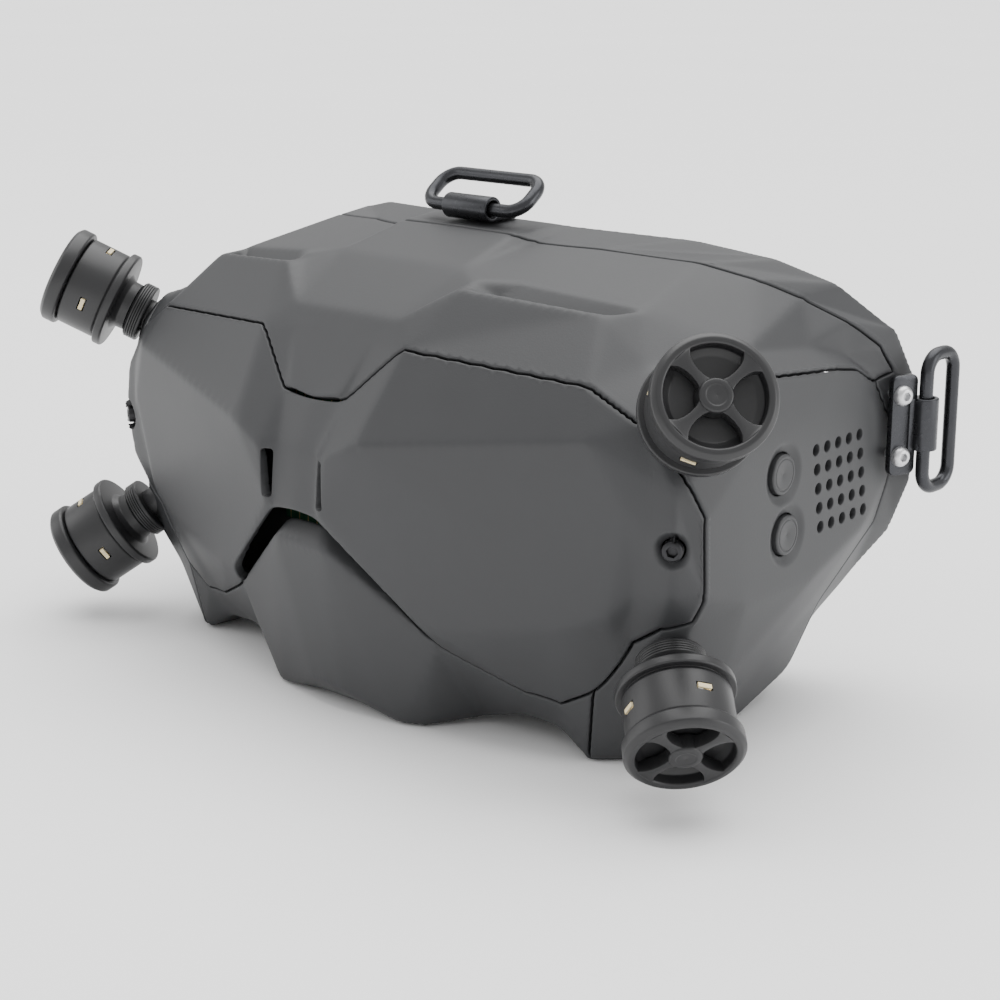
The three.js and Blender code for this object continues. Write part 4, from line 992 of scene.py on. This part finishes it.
    def shell(self, label: str) -> bpy.types.Mesh:
        """One shell with rounded edges along its seams and holes.

        Args:
            label: The shell's name.

        Returns:
            The shell's mesh, in metres.
        """
        normals = vertex_normals(self.points, self.faces)
        faces = self.faces[self.labels == SHELLS.index(label)]
        used, faces = np.unique(faces, return_inverse=True)
        faces = faces.reshape(-1, 3)
        points, normals, holed = self.points[used].copy(), normals[used], self.hole_rim[used]
        ends = faces[:, [[0, 1], [1, 2], [2, 0]]].reshape(-1, 2)
        _, which, uses = np.unique(np.sort(ends, axis=1), axis=0, return_inverse=True, return_counts=True)
        rim = ends[uses[which.reshape(-1)] == 1]
        out = np.zeros_like(points)
        for a, b in rim:
            away = np.cross(points[b] - points[a], normals[a] + normals[b])
            out[[a, b]] += away / max(np.linalg.norm(away), 1e-9)
        for _ in range(4):
            even = out.copy()
            np.add.at(even, rim[:, 0], out[rim[:, 1]])
            np.add.at(even, rim[:, 1], out[rim[:, 0]])
            out = even / np.maximum(np.linalg.norm(even, axis=1), 1e-9)[:, None]
        edge = np.where(holed, 0.16, self.edge)[:, None]
        pull = out * (np.where(holed, 0.0, self.gap / 2)[:, None] + edge)
        beside = np.vstack([ends, ends[:, ::-1]])
        on_rim = np.unique(rim)
        is_rim = np.zeros(len(points), bool)
        is_rim[on_rim] = True
        beside = beside[~is_rim[beside[:, 0]] & is_rim[beside[:, 1]]]
        count = np.maximum(np.bincount(beside[:, 0], minlength=len(points)), 1)[:, None]
        for k in range(3):
            follow = np.bincount(beside[:, 0], pull[beside[:, 1], k], len(points))[:, None] / count
            pull[:, k:k + 1] += 0.5 * follow
        points -= pull
        place = np.full(len(points), -1)
        place[on_rim] = np.arange(len(on_rim))
        p, o, d, e = points[on_rim], out[on_rim], normals[on_rim], edge[on_rim]
        rings = [p + o * e * 0.7 - d * e * 0.3, p + o * e - d * e, p + o * e - d * self.wall]
        start = [len(points) + k * len(on_rim) for k in range(3)]
        made = faces.tolist()
        for a, b in rim:
            steps_a, steps_b = ([i, *(s + place[i] for s in start)] for i in (a, b))
            made += [[int(i) for i in (steps_b[k], steps_a[k], steps_a[k + 1], steps_b[k + 1])]
                     for k in range(3)]
        mesh = bpy.data.meshes.new(label + "_mesh")
        mesh.from_pydata(np.vstack([points, *rings]) * MM, [], made)
        return mesh


def face_normals(points: np.ndarray, faces: np.ndarray, unit: bool = True) -> np.ndarray:
    """The normals of triangles, of unit length or as long as twice their area."""
    a, b, c = (points[faces[:, k]] for k in range(3))
    n = np.cross(b - a, c - a)
    return n / np.maximum(np.linalg.norm(n, axis=1), 1e-12)[:, None] if unit else n


def vertex_normals(points: np.ndarray, faces: np.ndarray) -> np.ndarray:
    """The normal of the surface at each point."""
    n = face_normals(points, faces, unit=False)
    sums = np.stack([sum(np.bincount(faces[:, k], n[:, axis], len(points)) for k in range(3))
                     for axis in range(3)], axis=1)
    return sums / np.maximum(np.linalg.norm(sums, axis=1), 1e-12)[:, None]


# ---------------------------------------------------------------- housing
def skin_at(x: float, y: float, z: float) -> Vector:
    """A point given from the bridge's own Y = 0, in the frame."""
    return Vector((x, y + SHIFT_Y, z))


@dataclass
class Housing:
    """The six moulded shells, with every dish and hole in them."""

    side_lean: float = 0.07  # the side covers lean in towards the back
    channel_up: tuple[float, float] = (49.8, 63.0)
    channel_down: tuple[float, float] = (52.0, 49.2)
    channel_radius: float = 4.4
    stick: tuple[float, float] = (54.0, 58.0)
    back: tuple[float, float] = (68.0, 62.0)
    record: tuple[float, float] = (68.0, 50.0)
    vent_rows: int = 5
    vent_radius: float = 1.3

    def on_side(self, side: Side, y: float, z: float) -> Vector:
        """The point of a side cover's flat field at this depth and height."""
        return skin_at(side.value * (92.6 - (y - 35) * self.side_lean), y, z)

    def vent_points(self) -> list[Vector]:
        """The middles of the air outlet's holes."""
        return [self.on_side(Side.RIGHT, 62.6 + i * 4.6 + j * 4.45 * 0.17, 65.8 - j * 4.45)
                for i in range(self.vent_rows) for j in range(self.vent_rows)]

    def dishes(self) -> list[Dish]:
        """Every soft hollow of the housing."""
        out = [Dish(self.on_side(Side.RIGHT, *at), 7.2, 1.0, 2.4)
               for at in (self.channel_up, self.channel_down)]
        out += [Dish(self.on_side(Side.LEFT, *self.stick), 8.0, 0.8, 2.4)]
        out += [Dish(self.on_side(Side.LEFT, *at), 5.0, 0.6, 1.8) for at in (self.back, self.record)]
        out += [Dish(side.at(89.4, 15.2 + SHIFT_Y, 53.2), 4.1, 1.5, 1.3, 0.45) for side in Side]
        return out

    def holes(self) -> list[Hole]:
        """Every hole of the housing."""
        right, left = Vector((1, self.side_lean, 0)).normalized(), Vector((-1, 0, 0))
        out = [Hole(at, right, 2.6, 2.6, 1.3, 0.34, 3.0) for at in self.vent_points()]
        wide = 2 * (self.channel_radius + 0.3)
        out += [Hole(self.on_side(Side.RIGHT, *at), right, wide, wide, wide / 2)
                for at in (self.channel_up, self.channel_down)]
        for at, r in ((self.stick, 5.4), (self.back, 3.3), (self.record, 3.3)):
            out.append(Hole(self.on_side(Side.LEFT, *at), left, 2 * r, 2 * r, r))
        for side in Side:
            out.append(Hole(side.at(8.7, -7 + SHIFT_Y, 56.4), Vector((0, -1, 0)), 2.6, 11, 0.7, 0.5))
            out.append(Hole(side.at(33, 46 + SHIFT_Y, 6), Vector((0, 0, -1)), 12, 4.4, 0.8, 0.6))
            out.append(Hole(side.at(89.4, 15.2 + SHIFT_Y, 53.2), side.at(0.5, -0.866, 0),
                            4.9, 4.9, 2.45, 0.4, 4.0))
        return out

    def build(self) -> None:
        """Builds the skin and parts it into the shells."""
        skin = Skin(dishes=self.dishes(), holes=self.holes())
        skin.build()
        for label in SHELLS:
            finish_piece(label + "_skin", skin.shell(label), [Look.HOUSING], "shell", [label], 50.0)


# ---------------------------------------------------------------- antennas
@dataclass(frozen=True)
class AntennaMount:
    """Where one antenna stands."""

    name: str
    tip: Vector
    axis: Vector

    @staticmethod
    def every() -> list["AntennaMount"]:
        """The four antennas' places."""
        out = []
        for side in Side:
            for level, tip, axis in (("upper", (105, 7.9, 89.1), (0.69, -0.57, 0.44)),
                                     ("lower", (101.5, 5.8, 15.2), (0.62, -0.55, -0.56))):
                place = side.at(tip[0], tip[1] + SHIFT_Y, tip[2])
                out.append(AntennaMount(level + "_" + side.word, place, side.at(*axis).normalized()))
        return out


@dataclass
class Antenna:
    """One stubby antenna: spoked cap, cup with pad windows, flange, neck and threaded jack."""

    mount: AntennaMount
    cap_radius: float = 12.5
    ring_radius: float = 10.1
    cap_height: float = 4.2
    hub_radius: float = 3.5
    body_radius: float = 11.4
    body_end: float = -14.4  # along the axis, from the cap's face
    flange_end: float = -17.0
    neck_end: float = -20.4

    def build(self) -> None:
        """Builds the antenna's pieces on its body."""
        body = "antenna_" + self.mount.name
        self._cap().make("antenna_wheel_" + self.mount.name, [Look.ANTENNA], body,
                         ["antenna_cap_" + self.mount.name])
        cup = self._cup(body)
        log.info("%s: cup with %d faces", self.mount.name, len(cup.data.polygons))
        self._pads().make("antenna_pads_" + self.mount.name, [Look.PAD_GOLD, Look.PAD_WHITE], body)
        self._jack().make("antenna_nut_" + self.mount.name, [Look.ANTENNA], "shell",
                          ["antenna_jack_" + self.mount.name])

    def _place(self) -> Matrix:
        """The placing of forms built with the cap's face at 0 and the antenna below it."""
        return stand(self.mount.tip, self.mount.axis)

    def _cap(self) -> Draft:
        """The wheel: ring with a chamfer, bowl, four flared spokes and a proud hub."""
        d, place, r, inner = Draft(), self._place(), self.cap_radius, self.ring_radius
        d.lathe(rounded([(r - 0.5, -self.cap_height), (r, -self.cap_height + 0.4), (r, -0.95),
                         (r - 1.0, 0), (inner + 0.35, 0), (inner, -0.4), (inner - 0.1, -2.5),
                         (inner - 1.6, -3.5), (4.6, -3.7), (0, -3.7), (0, -self.cap_height)], 0.25, 2),
                place, 72)
        for k in range(4):
            d.prism(self._spoke(), -3.2, -0.12, place @ Matrix.Rotation(k * math.pi / 2, 4, "Z"), 0.28)
        d.lathe(rounded([(self.hub_radius + 0.3, -3.2), (self.hub_radius, -0.1),
                         (self.hub_radius - 0.35, 0.35), (2.2, 0.42), (2.0, 0.3), (0, 0.3), (0, -3.2)],
                        0.2, 2), place, 48)
        return d

    def _spoke(self) -> Profile:
        """A spoke's outline, from the hub to the ring, wider at both ends."""
        widths = [(2.6, 1.9), (3.4, 1.35), (4.4, 1.05), (6.0, 0.95), (7.6, 1.15), (8.8, 1.6),
                  (9.6, 2.3), (10.3, 3.1)]
        return [(x, -w) for x, w in widths] + [(x, w) for x, w in reversed(widths)]

    def _cup(self, body: str) -> bpy.types.Object:
        """The cup with its flange and neck, and two slots through it for the pads.

        Args:
            body: The antenna's body.

        Returns:
            The cup.
        """
        r, low, end = self.body_radius, self.body_end, self.flange_end
        d = Draft()
        d.lathe(rounded([(r - 1.5, -4.45), (r - 0.3, -4.45), (r, -4.8), (r, low + 0.5), (r - 0.35, low),
                         (r - 0.35, low - 0.35), (12.3, low - 0.35), (12.5, low - 0.6),
                         (12.5, end + 0.4), (12.1, end), (7.6, end), (6.3, end - 1.2),
                         (6.2, self.neck_end), (2.8, self.neck_end), (2.8, low + 1.6),
                         (r - 1.5, low + 1.6)], 0.2, 2), self._place(), 72)
        mesh = bpy.data.meshes.new("cup")
        mesh.from_pydata([p * MM for p in d.points], [], d.faces)
        slots = Draft()
        for turn in (0.5, 0.5 + math.pi / 2):
            slots.prism(rounded_rect(40, 3.6, 0.3, 2), -10.7, -8.9,
                        self._place() @ Matrix.Rotation(turn, 4, "Z"), 0.05)
        work = bmesh.new()
        work.from_mesh(mesh)
        bmesh.ops.recalc_face_normals(work, faces=work.faces)
        work.to_mesh(mesh)
        work.free()
        return finish_piece("antenna_cup_" + self.mount.name, cut(mesh, slots), [Look.ANTENNA], body,
                            ["antenna_body_" + self.mount.name], 30.0)

    def _pads(self) -> Draft:
        """The gold and white pad in each window."""
        d = Draft()
        for k in range(4):
            turn = self._place() @ Matrix.Rotation(0.5 + k * math.pi / 2, 4, "Z")
            for slot, side in ((0, -0.85), (1, 0.85)):
                d.prism(rounded_rect(1.2, 1.25, 0.25, 2), 0, 0.9,
                        turn @ Matrix.Translation((self.body_radius - 1.2, side, -9.75))
                        @ Matrix.Rotation(math.pi / 2, 4, "Y"), 0.1, slot)
        return d

    def _jack(self) -> Draft:
        """The threaded jack's round nut on the shell."""
        d, place = Draft(), self._place() @ Matrix.Translation((0, 0, self.neck_end - 0.35))
        profile = [(0, -7.6), (4, -7.6), (4, -3.6), (7.2, -3.6), (7.4, -3.3)]
        for k in range(4):
            z = -2.9 + k * 0.6
            profile += [(7.4, z), (7.22, z + 0.15), (7.4, z + 0.3)]
        profile += [(7.4, -0.5), (6.9, 0), (2.6, 0), (2.4, -0.2), (2.4, -5), (0, -5)]
        d.lathe(profile, place, 64)
        return d


# ---------------------------------------------------------------- screws, buttons and sockets
def hexagon(radius: float, count: int = 48) -> Profile:
    """A hexagon's outline as points at even angles.

    Args:
        radius: From the middle to a corner.
        count: How many points.

    Returns:
        The outline.
    """
    out = []
    for k in range(count):
        a = 2 * math.pi * k / count
        r = radius * math.cos(math.pi / 6) / math.cos((a % (math.pi / 3)) - math.pi / 6)
        out.append((r * math.cos(a), r * math.sin(a)))
    return out


@dataclass
class SocketScrew:
    """A screw with a hex socket."""

    name: str
    at: Vector
    axis: Vector
    look: Look
    node: str
    head: Profile  # the head's outer profile from under the head to its top, (radius, height)
    socket: float = 1.15
    deep: float = 0.9

    def build(self) -> None:
        """Builds the screw on the shell."""
        d, place = Draft(), stand(self.at, self.axis, 0.3)
        rings = [[Vector((x, y, z)) for x, y in circle(r, 48)] for r, z in self.head]
        top = self.head[-1][1]
        for radius, z in ((self.socket + 0.08, top - 0.02), (self.socket, top - 0.14),
                          (self.socket, top - self.deep)):
            rings.append([Vector((x, y, z)) for x, y in hexagon(radius)])
        d.loft(rings, place)
        d.make(self.name, [self.look], "shell", [self.node])


@dataclass
class Controls:
    """The buttons of both sides, and the screws of the cover."""

    housing: Housing

    def build(self) -> None:
        """Builds the buttons and the cover's screws."""
        self._channel_keys()
        self._left_keys()
        for side in Side:
            head = [(0.95, -5), (0.95, -1.1), (2.2, -1.1), (2.2, 0.55), (2.05, 0.85), (1.75, 1.0)]
            SocketScrew("cover_bolt_" + side.word, side.at(89.4, 15.2 + SHIFT_Y, 53.2) - side.at(
                0.5, -0.866, 0) * 0.9, side.at(0.5, -0.866, 0), Look.BLACK_SCREW,
                "cover_screw_" + side.word, head, 1.2, 1.1).build()

    def _channel_keys(self) -> None:
        """The two dished round keys of the right side."""
        r = self.housing.channel_radius
        for key, at in (("up", self.housing.channel_up), ("down", self.housing.channel_down)):
            d = Draft()
            d.lathe(rounded([(r + 0.9, -2.6), (r + 0.9, -2.2), (r, -2.0), (r, -0.15), (r - 0.3, 0.12),
                             (r - 0.75, 0.18), (r - 0.85, 0.02), (r - 1.05, 0.02), (r - 1.2, 0.16),
                             (r - 2.4, 0.0), (0, -0.22), (0, -2.6)], 0.18, 2),
                    stand(self.housing.on_side(Side.RIGHT, *at), Vector((1, self.housing.side_lean, 0))),
                    64)
            d.make("channel_key_" + key, [Look.BUTTON], "channel_" + key + "_key",
                   ["channel_button_" + key])

    def _left_keys(self) -> None:
        """The five-way stick, and the round keys beside it."""
        out = Vector((-1, 0, 0))
        d = Draft()
        d.lathe(rounded([(6.3, -4), (6.3, -3.1), (1.6, -2.9), (1.6, -0.4), (4.4, 0.2), (4.7, 0.6),
                         (4.6, 1.6), (4.1, 2.15), (3.4, 2.25), (1.6, 1.75), (0, 1.65), (0, -4)], 0.3, 3),
                stand(self.housing.on_side(Side.LEFT, *self.housing.stick), out), 64)
        for k in range(4):
            turn = stand(self.housing.on_side(Side.LEFT, *self.housing.stick), out, k * math.pi / 2)
            d.lathe(rounded([(0.45, 1.6), (0.42, 2.35), (0.2, 2.5), (0, 2.5), (0, 1.6)], 0.1, 2),
                    turn @ Matrix.Translation((3.1, 0, 0)), 16)
        d.make("stick_cap", [Look.BLACK], "five_way_key", ["five_way_button"])
        for key, at in (("back", self.housing.back), ("record", self.housing.record)):
            d = Draft()
            d.lathe(rounded([(4.3, -3.2), (4.3, -2.6), (3, -2.4), (3, 0.2), (2.6, 0.65), (2.0, 0.78),
                             (0, 0.86), (0, -3.2)], 0.2, 3),
                    stand(self.housing.on_side(Side.LEFT, *at), out), 48)
            d.make(key + "_cap", [Look.BLACK], key + "_key", [key + "_button"])


# ---------------------------------------------------------------- strap hardware
@dataclass
class Loop:
    """A rounded wire loop that takes the head strap."""

    key: str
    bar: Vector
    along: Vector
    out: Vector
    length: float = 34.0
    width: float = 13.6
    rod: float = 1.55
    corner: float = 4.2

    def build(self) -> None:
        """Builds the loop on its body."""
        x, y = self.along.normalized(), self.out.normalized()
        place = Matrix((x, y, x.cross(y))).transposed().to_4x4()
        place.translation = self.bar
        middle = (self.width - 2 * self.rod) / 2
        path = rounded_rect(self.length - 2 * self.rod, 2 * middle, self.corner, 8)
        path = [(u, v + middle) for u, v in path]
        rings = []
        for i, (u, v) in enumerate(path):
            before, after = Vector(path[i - 1]), Vector(path[(i + 1) % len(path)])
            t = (after - before).normalized()
            rings.append([Vector((u + t.y * p, v - t.x * p, q)) for p, q in circle(self.rod, 20)])
        d = Draft()
        d.loft(rings, place, loop=True)
        d.make("wire_loop_" + self.key, [Look.GUNMETAL], "loop_" + self.key, ["strap_loop_" + self.key], 60)


@dataclass
class StrapHardware:
    """The three strap loops, their brackets, and the screws of the side brackets."""

    plate_long: float = 23.0
    plate_wide: float = 7.0
    plate_thick: float = 1.8
    knuckle: float = 2.95
    bore: float = 1.97

    def build(self) -> None:
        """Builds loops, brackets and screws."""
        Loop("top", skin_at(0, 50.2, 111), Vector((1, 0, 0)), Vector((0, 0.8, 0.6))).build()
        self._top_bracket()
        for side in Side:
            Loop(side.word, skin_at(side.value * 94.6, 99.2, 66), Vector((0, 0, 1)),
                 side.at(0.02, 1, 0)).build()
            self._side_bracket(side)

    def _curl(self, d: Draft, place: Matrix, length: float) -> None:
        """Adds a knuckle round a bar that runs along the placing's Z."""
        r, h = self.knuckle, length / 2
        d.lathe(rounded([(self.bore, -h), (r, -h), (r, h), (self.bore, h)], 0.35, 3), place, 48)

    def _top_bracket(self) -> None:
        """The knuckle on its foot on top of the face frame."""
        d, bar = Draft(), skin_at(0, 50.2, 111)
        self._curl(d, stand(bar, Vector((1, 0, 0))), 14)
        d.prism(rounded_rect(13.8, 8.8, 1.2), -0.7, 0.7,
                Matrix.Translation(bar + Vector((0, 4.4, -2.1))), 0.3)
        d.make("top_hinge_plate", [Look.GUNMETAL], "shell", ["strap_bracket_top"])

    def _side_bracket(self, side: Side) -> None:
        """The plate on the face frame, its knuckle, and its two screws."""
        normal, along = side.at(0.944, -0.33, 0).normalized(), side.at(0.33, 0.944, 0).normalized()
        middle = skin_at(side.value * 90.7, 94.8, 66)
        flat = Matrix((along, normal.cross(along), normal)).transposed().to_4x4()
        flat.translation = middle
        d = Draft()
        d.prism(rounded_rect(self.plate_wide, self.plate_long, 1.6), 0, self.plate_thick, flat, 0.35)
        self._curl(d, stand(skin_at(side.value * 94.6, 99.2, 66), Vector((0, 0, 1))), 12)
        d.prism(rounded_rect(4.6, 11.9, 0.4), 0, 2.2, flat @ Matrix.Translation((3.4, 0, 0)), 0.3)
        d.make("side_hinge_plate_" + side.word, [Look.GUNMETAL], "shell", ["strap_bracket_" + side.word])
        head = [(1.15, -3), (1.15, 2.1), (2.3, 1.75), (2.3, 2.55), (2.15, 2.95), (1.85, 3.35), (1.5, 3.6)]
        for level, k in (("upper", 1), ("lower", -1)):
            SocketScrew("hinge_bolt_" + side.word + "_" + level,
                        middle - along + Vector((0, 0, k * 7)), normal, Look.STEEL,
                        "bracket_screw_" + side.word + "_" + level, head, 1.0, 1.0).build()


# ---------------------------------------------------------------- foam pad
@dataclass
class FacePad:
    """The soft pad round the face opening, swelled from its cut shape."""

    outer: str = "q"
    inner: str = "i"
    low: float = 1.4  # how far the pad's back stands off the lip
    high: float = 7.8
    cap: float = 1.3  # the furthest that swelling may move a point
    voxel: float = 3.0
    pressure: float = 4.0

    def build(self) -> None:
        d = Draft()
        d.loft(self._rings(), loop=True)
        mesh = bpy.data.meshes.new("pad")
        mesh.from_pydata([p * MM for p in d.points], [], d.faces)
        piece = bpy.data.objects.new("pad", mesh)
        bpy.context.scene.collection.objects.link(piece)
        remesh = piece.modifiers.new("even", "REMESH")
        remesh.mode = "VOXEL"
        remesh.voxel_size = self.voxel * MM
        self._apply(piece)
        self._swell(piece)
        smooth = piece.modifiers.new("smooth", "SMOOTH")
        smooth.factor, smooth.iterations = 0.5, 3
        subdivision = piece.modifiers.new("fine", "SUBSURF")
        subdivision.levels = 1
        self._apply(piece)
        made = piece.data
        bpy.data.objects.remove(piece)
        pad = finish_piece("face_pad", made, [Look.FOAM], "shell", ["face_foam"], 90.0)

    def _rings(self) -> list[list[Vector]]:
        """The pad's sections, once round the opening."""
        keys = ["0", *"123456789abcdef", "g0"]
        right = [(self.outer + k, self.inner + k) for k in keys]
        names = right + [(twin(a), twin(b)) for a, b in reversed(right[1:-1])]
        rings = []
        for a, b in names:
            p, q = self._corner(a), self._corner(b)
            lean = Vector((-3 * math.copysign(1, p.x) if abs(p.x) > 60 else 0, 0, 0))
            section = []
            for u, v in rounded([(0.12, self.low), (0.9, self.low), (0.78, self.high),
                                 (0.28, self.high)], 2.6, 4):
                section.append(p.lerp(q, u) + Vector((0, v, 0))
                               + lean * ((v - self.low) / (self.high - self.low)))
            rings.append(section)
        return rings

    def _corner(self, name: str) -> Vector:
        """A corner of the skin by name, in the frame."""
        x, y, z = CORNERS[name.rstrip("~")]
        return skin_at(-x if name.endswith("~") else x, y, z)

    def _apply(self, piece: bpy.types.Object) -> None:
        """Bakes the piece's modifiers into its mesh."""
        shown = piece.evaluated_get(bpy.context.evaluated_depsgraph_get())
        made = bpy.data.meshes.new_from_object(shown)
        piece.modifiers.clear()
        piece.data = made

    def _swell(self, piece: bpy.types.Object) -> None:
        """Blows the pad up as cloth, and keeps each point within the cap."""
        rest = [v.co.copy() for v in piece.data.vertices]
        cloth = piece.modifiers.new("cloth", "CLOTH")
        cloth.settings.use_pressure = True
        cloth.settings.uniform_pressure_force = self.pressure
        cloth.settings.effector_weights.gravity = 0
        for step in range(1, 21):
            bpy.context.scene.frame_set(step)
        shown = piece.evaluated_get(bpy.context.evaluated_depsgraph_get()).to_mesh()
        moved = [v.co.copy() for v in shown.vertices]
        piece.modifiers.clear()
        bpy.context.scene.frame_set(1)
        for v, start, end in zip(piece.data.vertices, rest, moved):
            move = end - start
            if move.length > self.cap * MM:
                move = move.normalized() * self.cap * MM
            v.co = start + move


# ---------------------------------------------------------------- eyepieces and the inside
@dataclass
class Eyepiece:
    """One sliding eyepiece: barrel with its post, and the lens."""

    side: Side
    x: float = 32.0
    z: float = 58.0
    radius: float = 21.5
    lens_radius: float = 18.2

    def build(self) -> None:
        """Builds the barrel and the lens on the eyepiece's body."""
        r, x = self.radius, self.x * self.side.value
        body = "eyepiece_" + self.side.word
        d, along = Draft(), Vector((0, 1, 0))
        d.lathe(rounded([(r - 2, 0), (r, 0), (r, 21.8), (r - 0.4, 22.9), (r - 1.6, 23.4), (r - 3, 23.2),
                         (r - 3, 19.4), (r - 2, 19.4)], 0.35, 2), stand(skin_at(x, 31, self.z), along), 96)
        low, high = 9.6, self.z - r + 1.2
        d.prism(rounded_rect(3.2, 3.0, 0.5), low, high,
                Matrix.Translation(skin_at(x + self.side.value, 46, 0)), 0.2)
        d.make("eye_tube_" + self.side.word, [Look.SHROUD], body, ["lens_barrel_" + self.side.word])
        lens = Draft()
        rim = self.lens_radius
        bulge = [(rim * k / 8, 6.9 - 2.5 * (k / 8) ** 2) for k in range(9)]
        lens.lathe([*bulge, (rim, 2.6), (rim * 0.5, 0.5), (0, 0)], stand(skin_at(x, 44.6, self.z), along), 96)
        lens.make("eye_lens_" + self.side.word, [Look.LENS], body, ["eyepiece_lens_" + self.side.word])


def dress_nodes() -> None:
    """Gives every node that still shows its finish."""
    looks = {
        Look.SHROUD: ["eye_shroud", "fan_housing", "fan_impeller", "ipd_knob_right", "ipd_knob_left",
                      "socket_block"],
        Look.DISPLAY: ["display_panel_right", "display_panel_left"],
        Look.RAIL: ["ipd_rail"],
        Look.SINK: ["heat_sink"],
        Look.BOARD: ["main_board", "radio_board"],
        Look.ANTENNA_BOARD: ["antenna_board_" + mount.name for mount in AntennaMount.every()],
    }
    for look, names in looks.items():
        for name in names:
            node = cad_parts[name]
            if not node.material_slots:
                node.data.materials.append(None)
            for holder in node.material_slots:
                holder.material = look.material()
            log.info("%s: %s", name, look.value[0].name)


# ---------------------------------------------------------------- studio
@dataclass
class Studio:
    """Pale floor, soft lights and the camera."""

    azimuth: float = 43.276
    elevation: float = 15.56
    roll: float = -0.053
    lens: float = 74.461
    eye: Point = (0.33619, -0.34882, 0.1746)
    world: float = 1.0

    def build(self) -> None:
        """Builds the stage, lights and camera."""
        self._floor()
        self._world()
        self._sky()
        self._light("right", (0.9, 0.35, 0.3), (0, 0, 0.06), 0.5, 3.0)
        self._light("front_left", (-0.9, -0.55, 0.45), (0, 0, 0.06), 0.6, 2.2)
        self._camera()

    def _floor(self) -> None:
        """The pale floor."""
        mesh = bpy.data.meshes.new("floor")
        mesh.from_pydata([(-6, -6, 0), (6, -6, 0), (6, 6, 0), (-6, 6, 0)], [], [(0, 1, 2, 3)])
        mesh.transform(Matrix.Translation((0, 0, -0.00015)))
        bench = Bench("pale_floor")
        bench.link(bench.blend(bench.spread(bench.noise(3.0), 0.0, 1.0), (0.93, 0.93, 0.93),
                               (0.95, 0.95, 0.95)), "Base Color")
        bench.set(Roughness=0.9, Specular_IOR_Level=0.1)
        mesh.materials.append(bench.material)
        floor = bpy.data.objects.new("floor", mesh)
        bpy.context.scene.collection.objects.link(floor)

    def _world(self) -> None:
        """Even light from all round."""
        world = bpy.data.worlds.new("studio")
        world.use_nodes = True
        background = world.node_tree.nodes["Background"]
        background.inputs["Color"].default_value = (1.0, 1.0, 1.0, 1.0)
        background.inputs["Strength"].default_value = self.world
        bpy.context.scene.world = world

    def _sky(self) -> None:
        """A very large soft light from above, a little from behind."""
        lamp = bpy.data.lights.new("sky", "SUN")
        lamp.energy, lamp.angle = 3.7, math.radians(70)
        sky = bpy.data.objects.new("sky", lamp)
        sky.rotation_euler = (math.radians(-14), math.radians(-6), 0)
        bpy.context.scene.collection.objects.link(sky)

    def _light(self, name: str, at: Point, to: Point, size: float, power: float) -> None:
        """Adds a square soft light that looks at a point.

        Args:
            name: The light's name.
            at: Where it stands.
            to: The point that it looks at.
            size: The length of its sides.
            power: Its power in watts.
        """
        lamp = bpy.data.lights.new(name, "AREA")
        lamp.shape, lamp.size, lamp.energy = "SQUARE", size, power
        light = bpy.data.objects.new(name, lamp)
        light.location = at
        light.rotation_euler = (Vector(to) - Vector(at)).to_track_quat("-Z", "Y").to_euler()
        bpy.context.scene.collection.objects.link(light)

    def _camera(self) -> None:
        """The camera, looking down the line that its angles give."""
        az, el = math.radians(self.azimuth), math.radians(self.elevation)
        back = Vector((math.sin(az) * math.cos(el), -math.cos(az) * math.cos(el), math.sin(el)))
        across = Vector((math.cos(az), math.sin(az), 0))
        turn = Matrix((across, back.cross(across), back)).transposed().to_4x4()
        data = bpy.data.cameras.new("camera")
        data.lens, data.sensor_width, data.sensor_fit = self.lens, 36.0, "HORIZONTAL"
        camera = bpy.data.objects.new("camera", data)
        camera.matrix_world = (Matrix.Translation(self.eye) @ turn
                               @ Matrix.Rotation(math.radians(self.roll), 4, "Z"))
        bpy.context.scene.collection.objects.link(camera)
        bpy.context.scene.camera = camera


def main() -> None:
    """Builds the goggles piece by piece, then the studio."""
    logging.basicConfig(level=logging.INFO, format="%(name)s: %(message)s")
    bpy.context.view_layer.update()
    Studio().build()
    housing = Housing()
    housing.build()
    Controls(housing).build()
    for mount in AntennaMount.every():
        Antenna(mount).build()
    StrapHardware().build()
    FacePad().build()
    for side in Side:
        Eyepiece(side).build()
    dress_nodes()


if __name__ == "__main__":
    main()
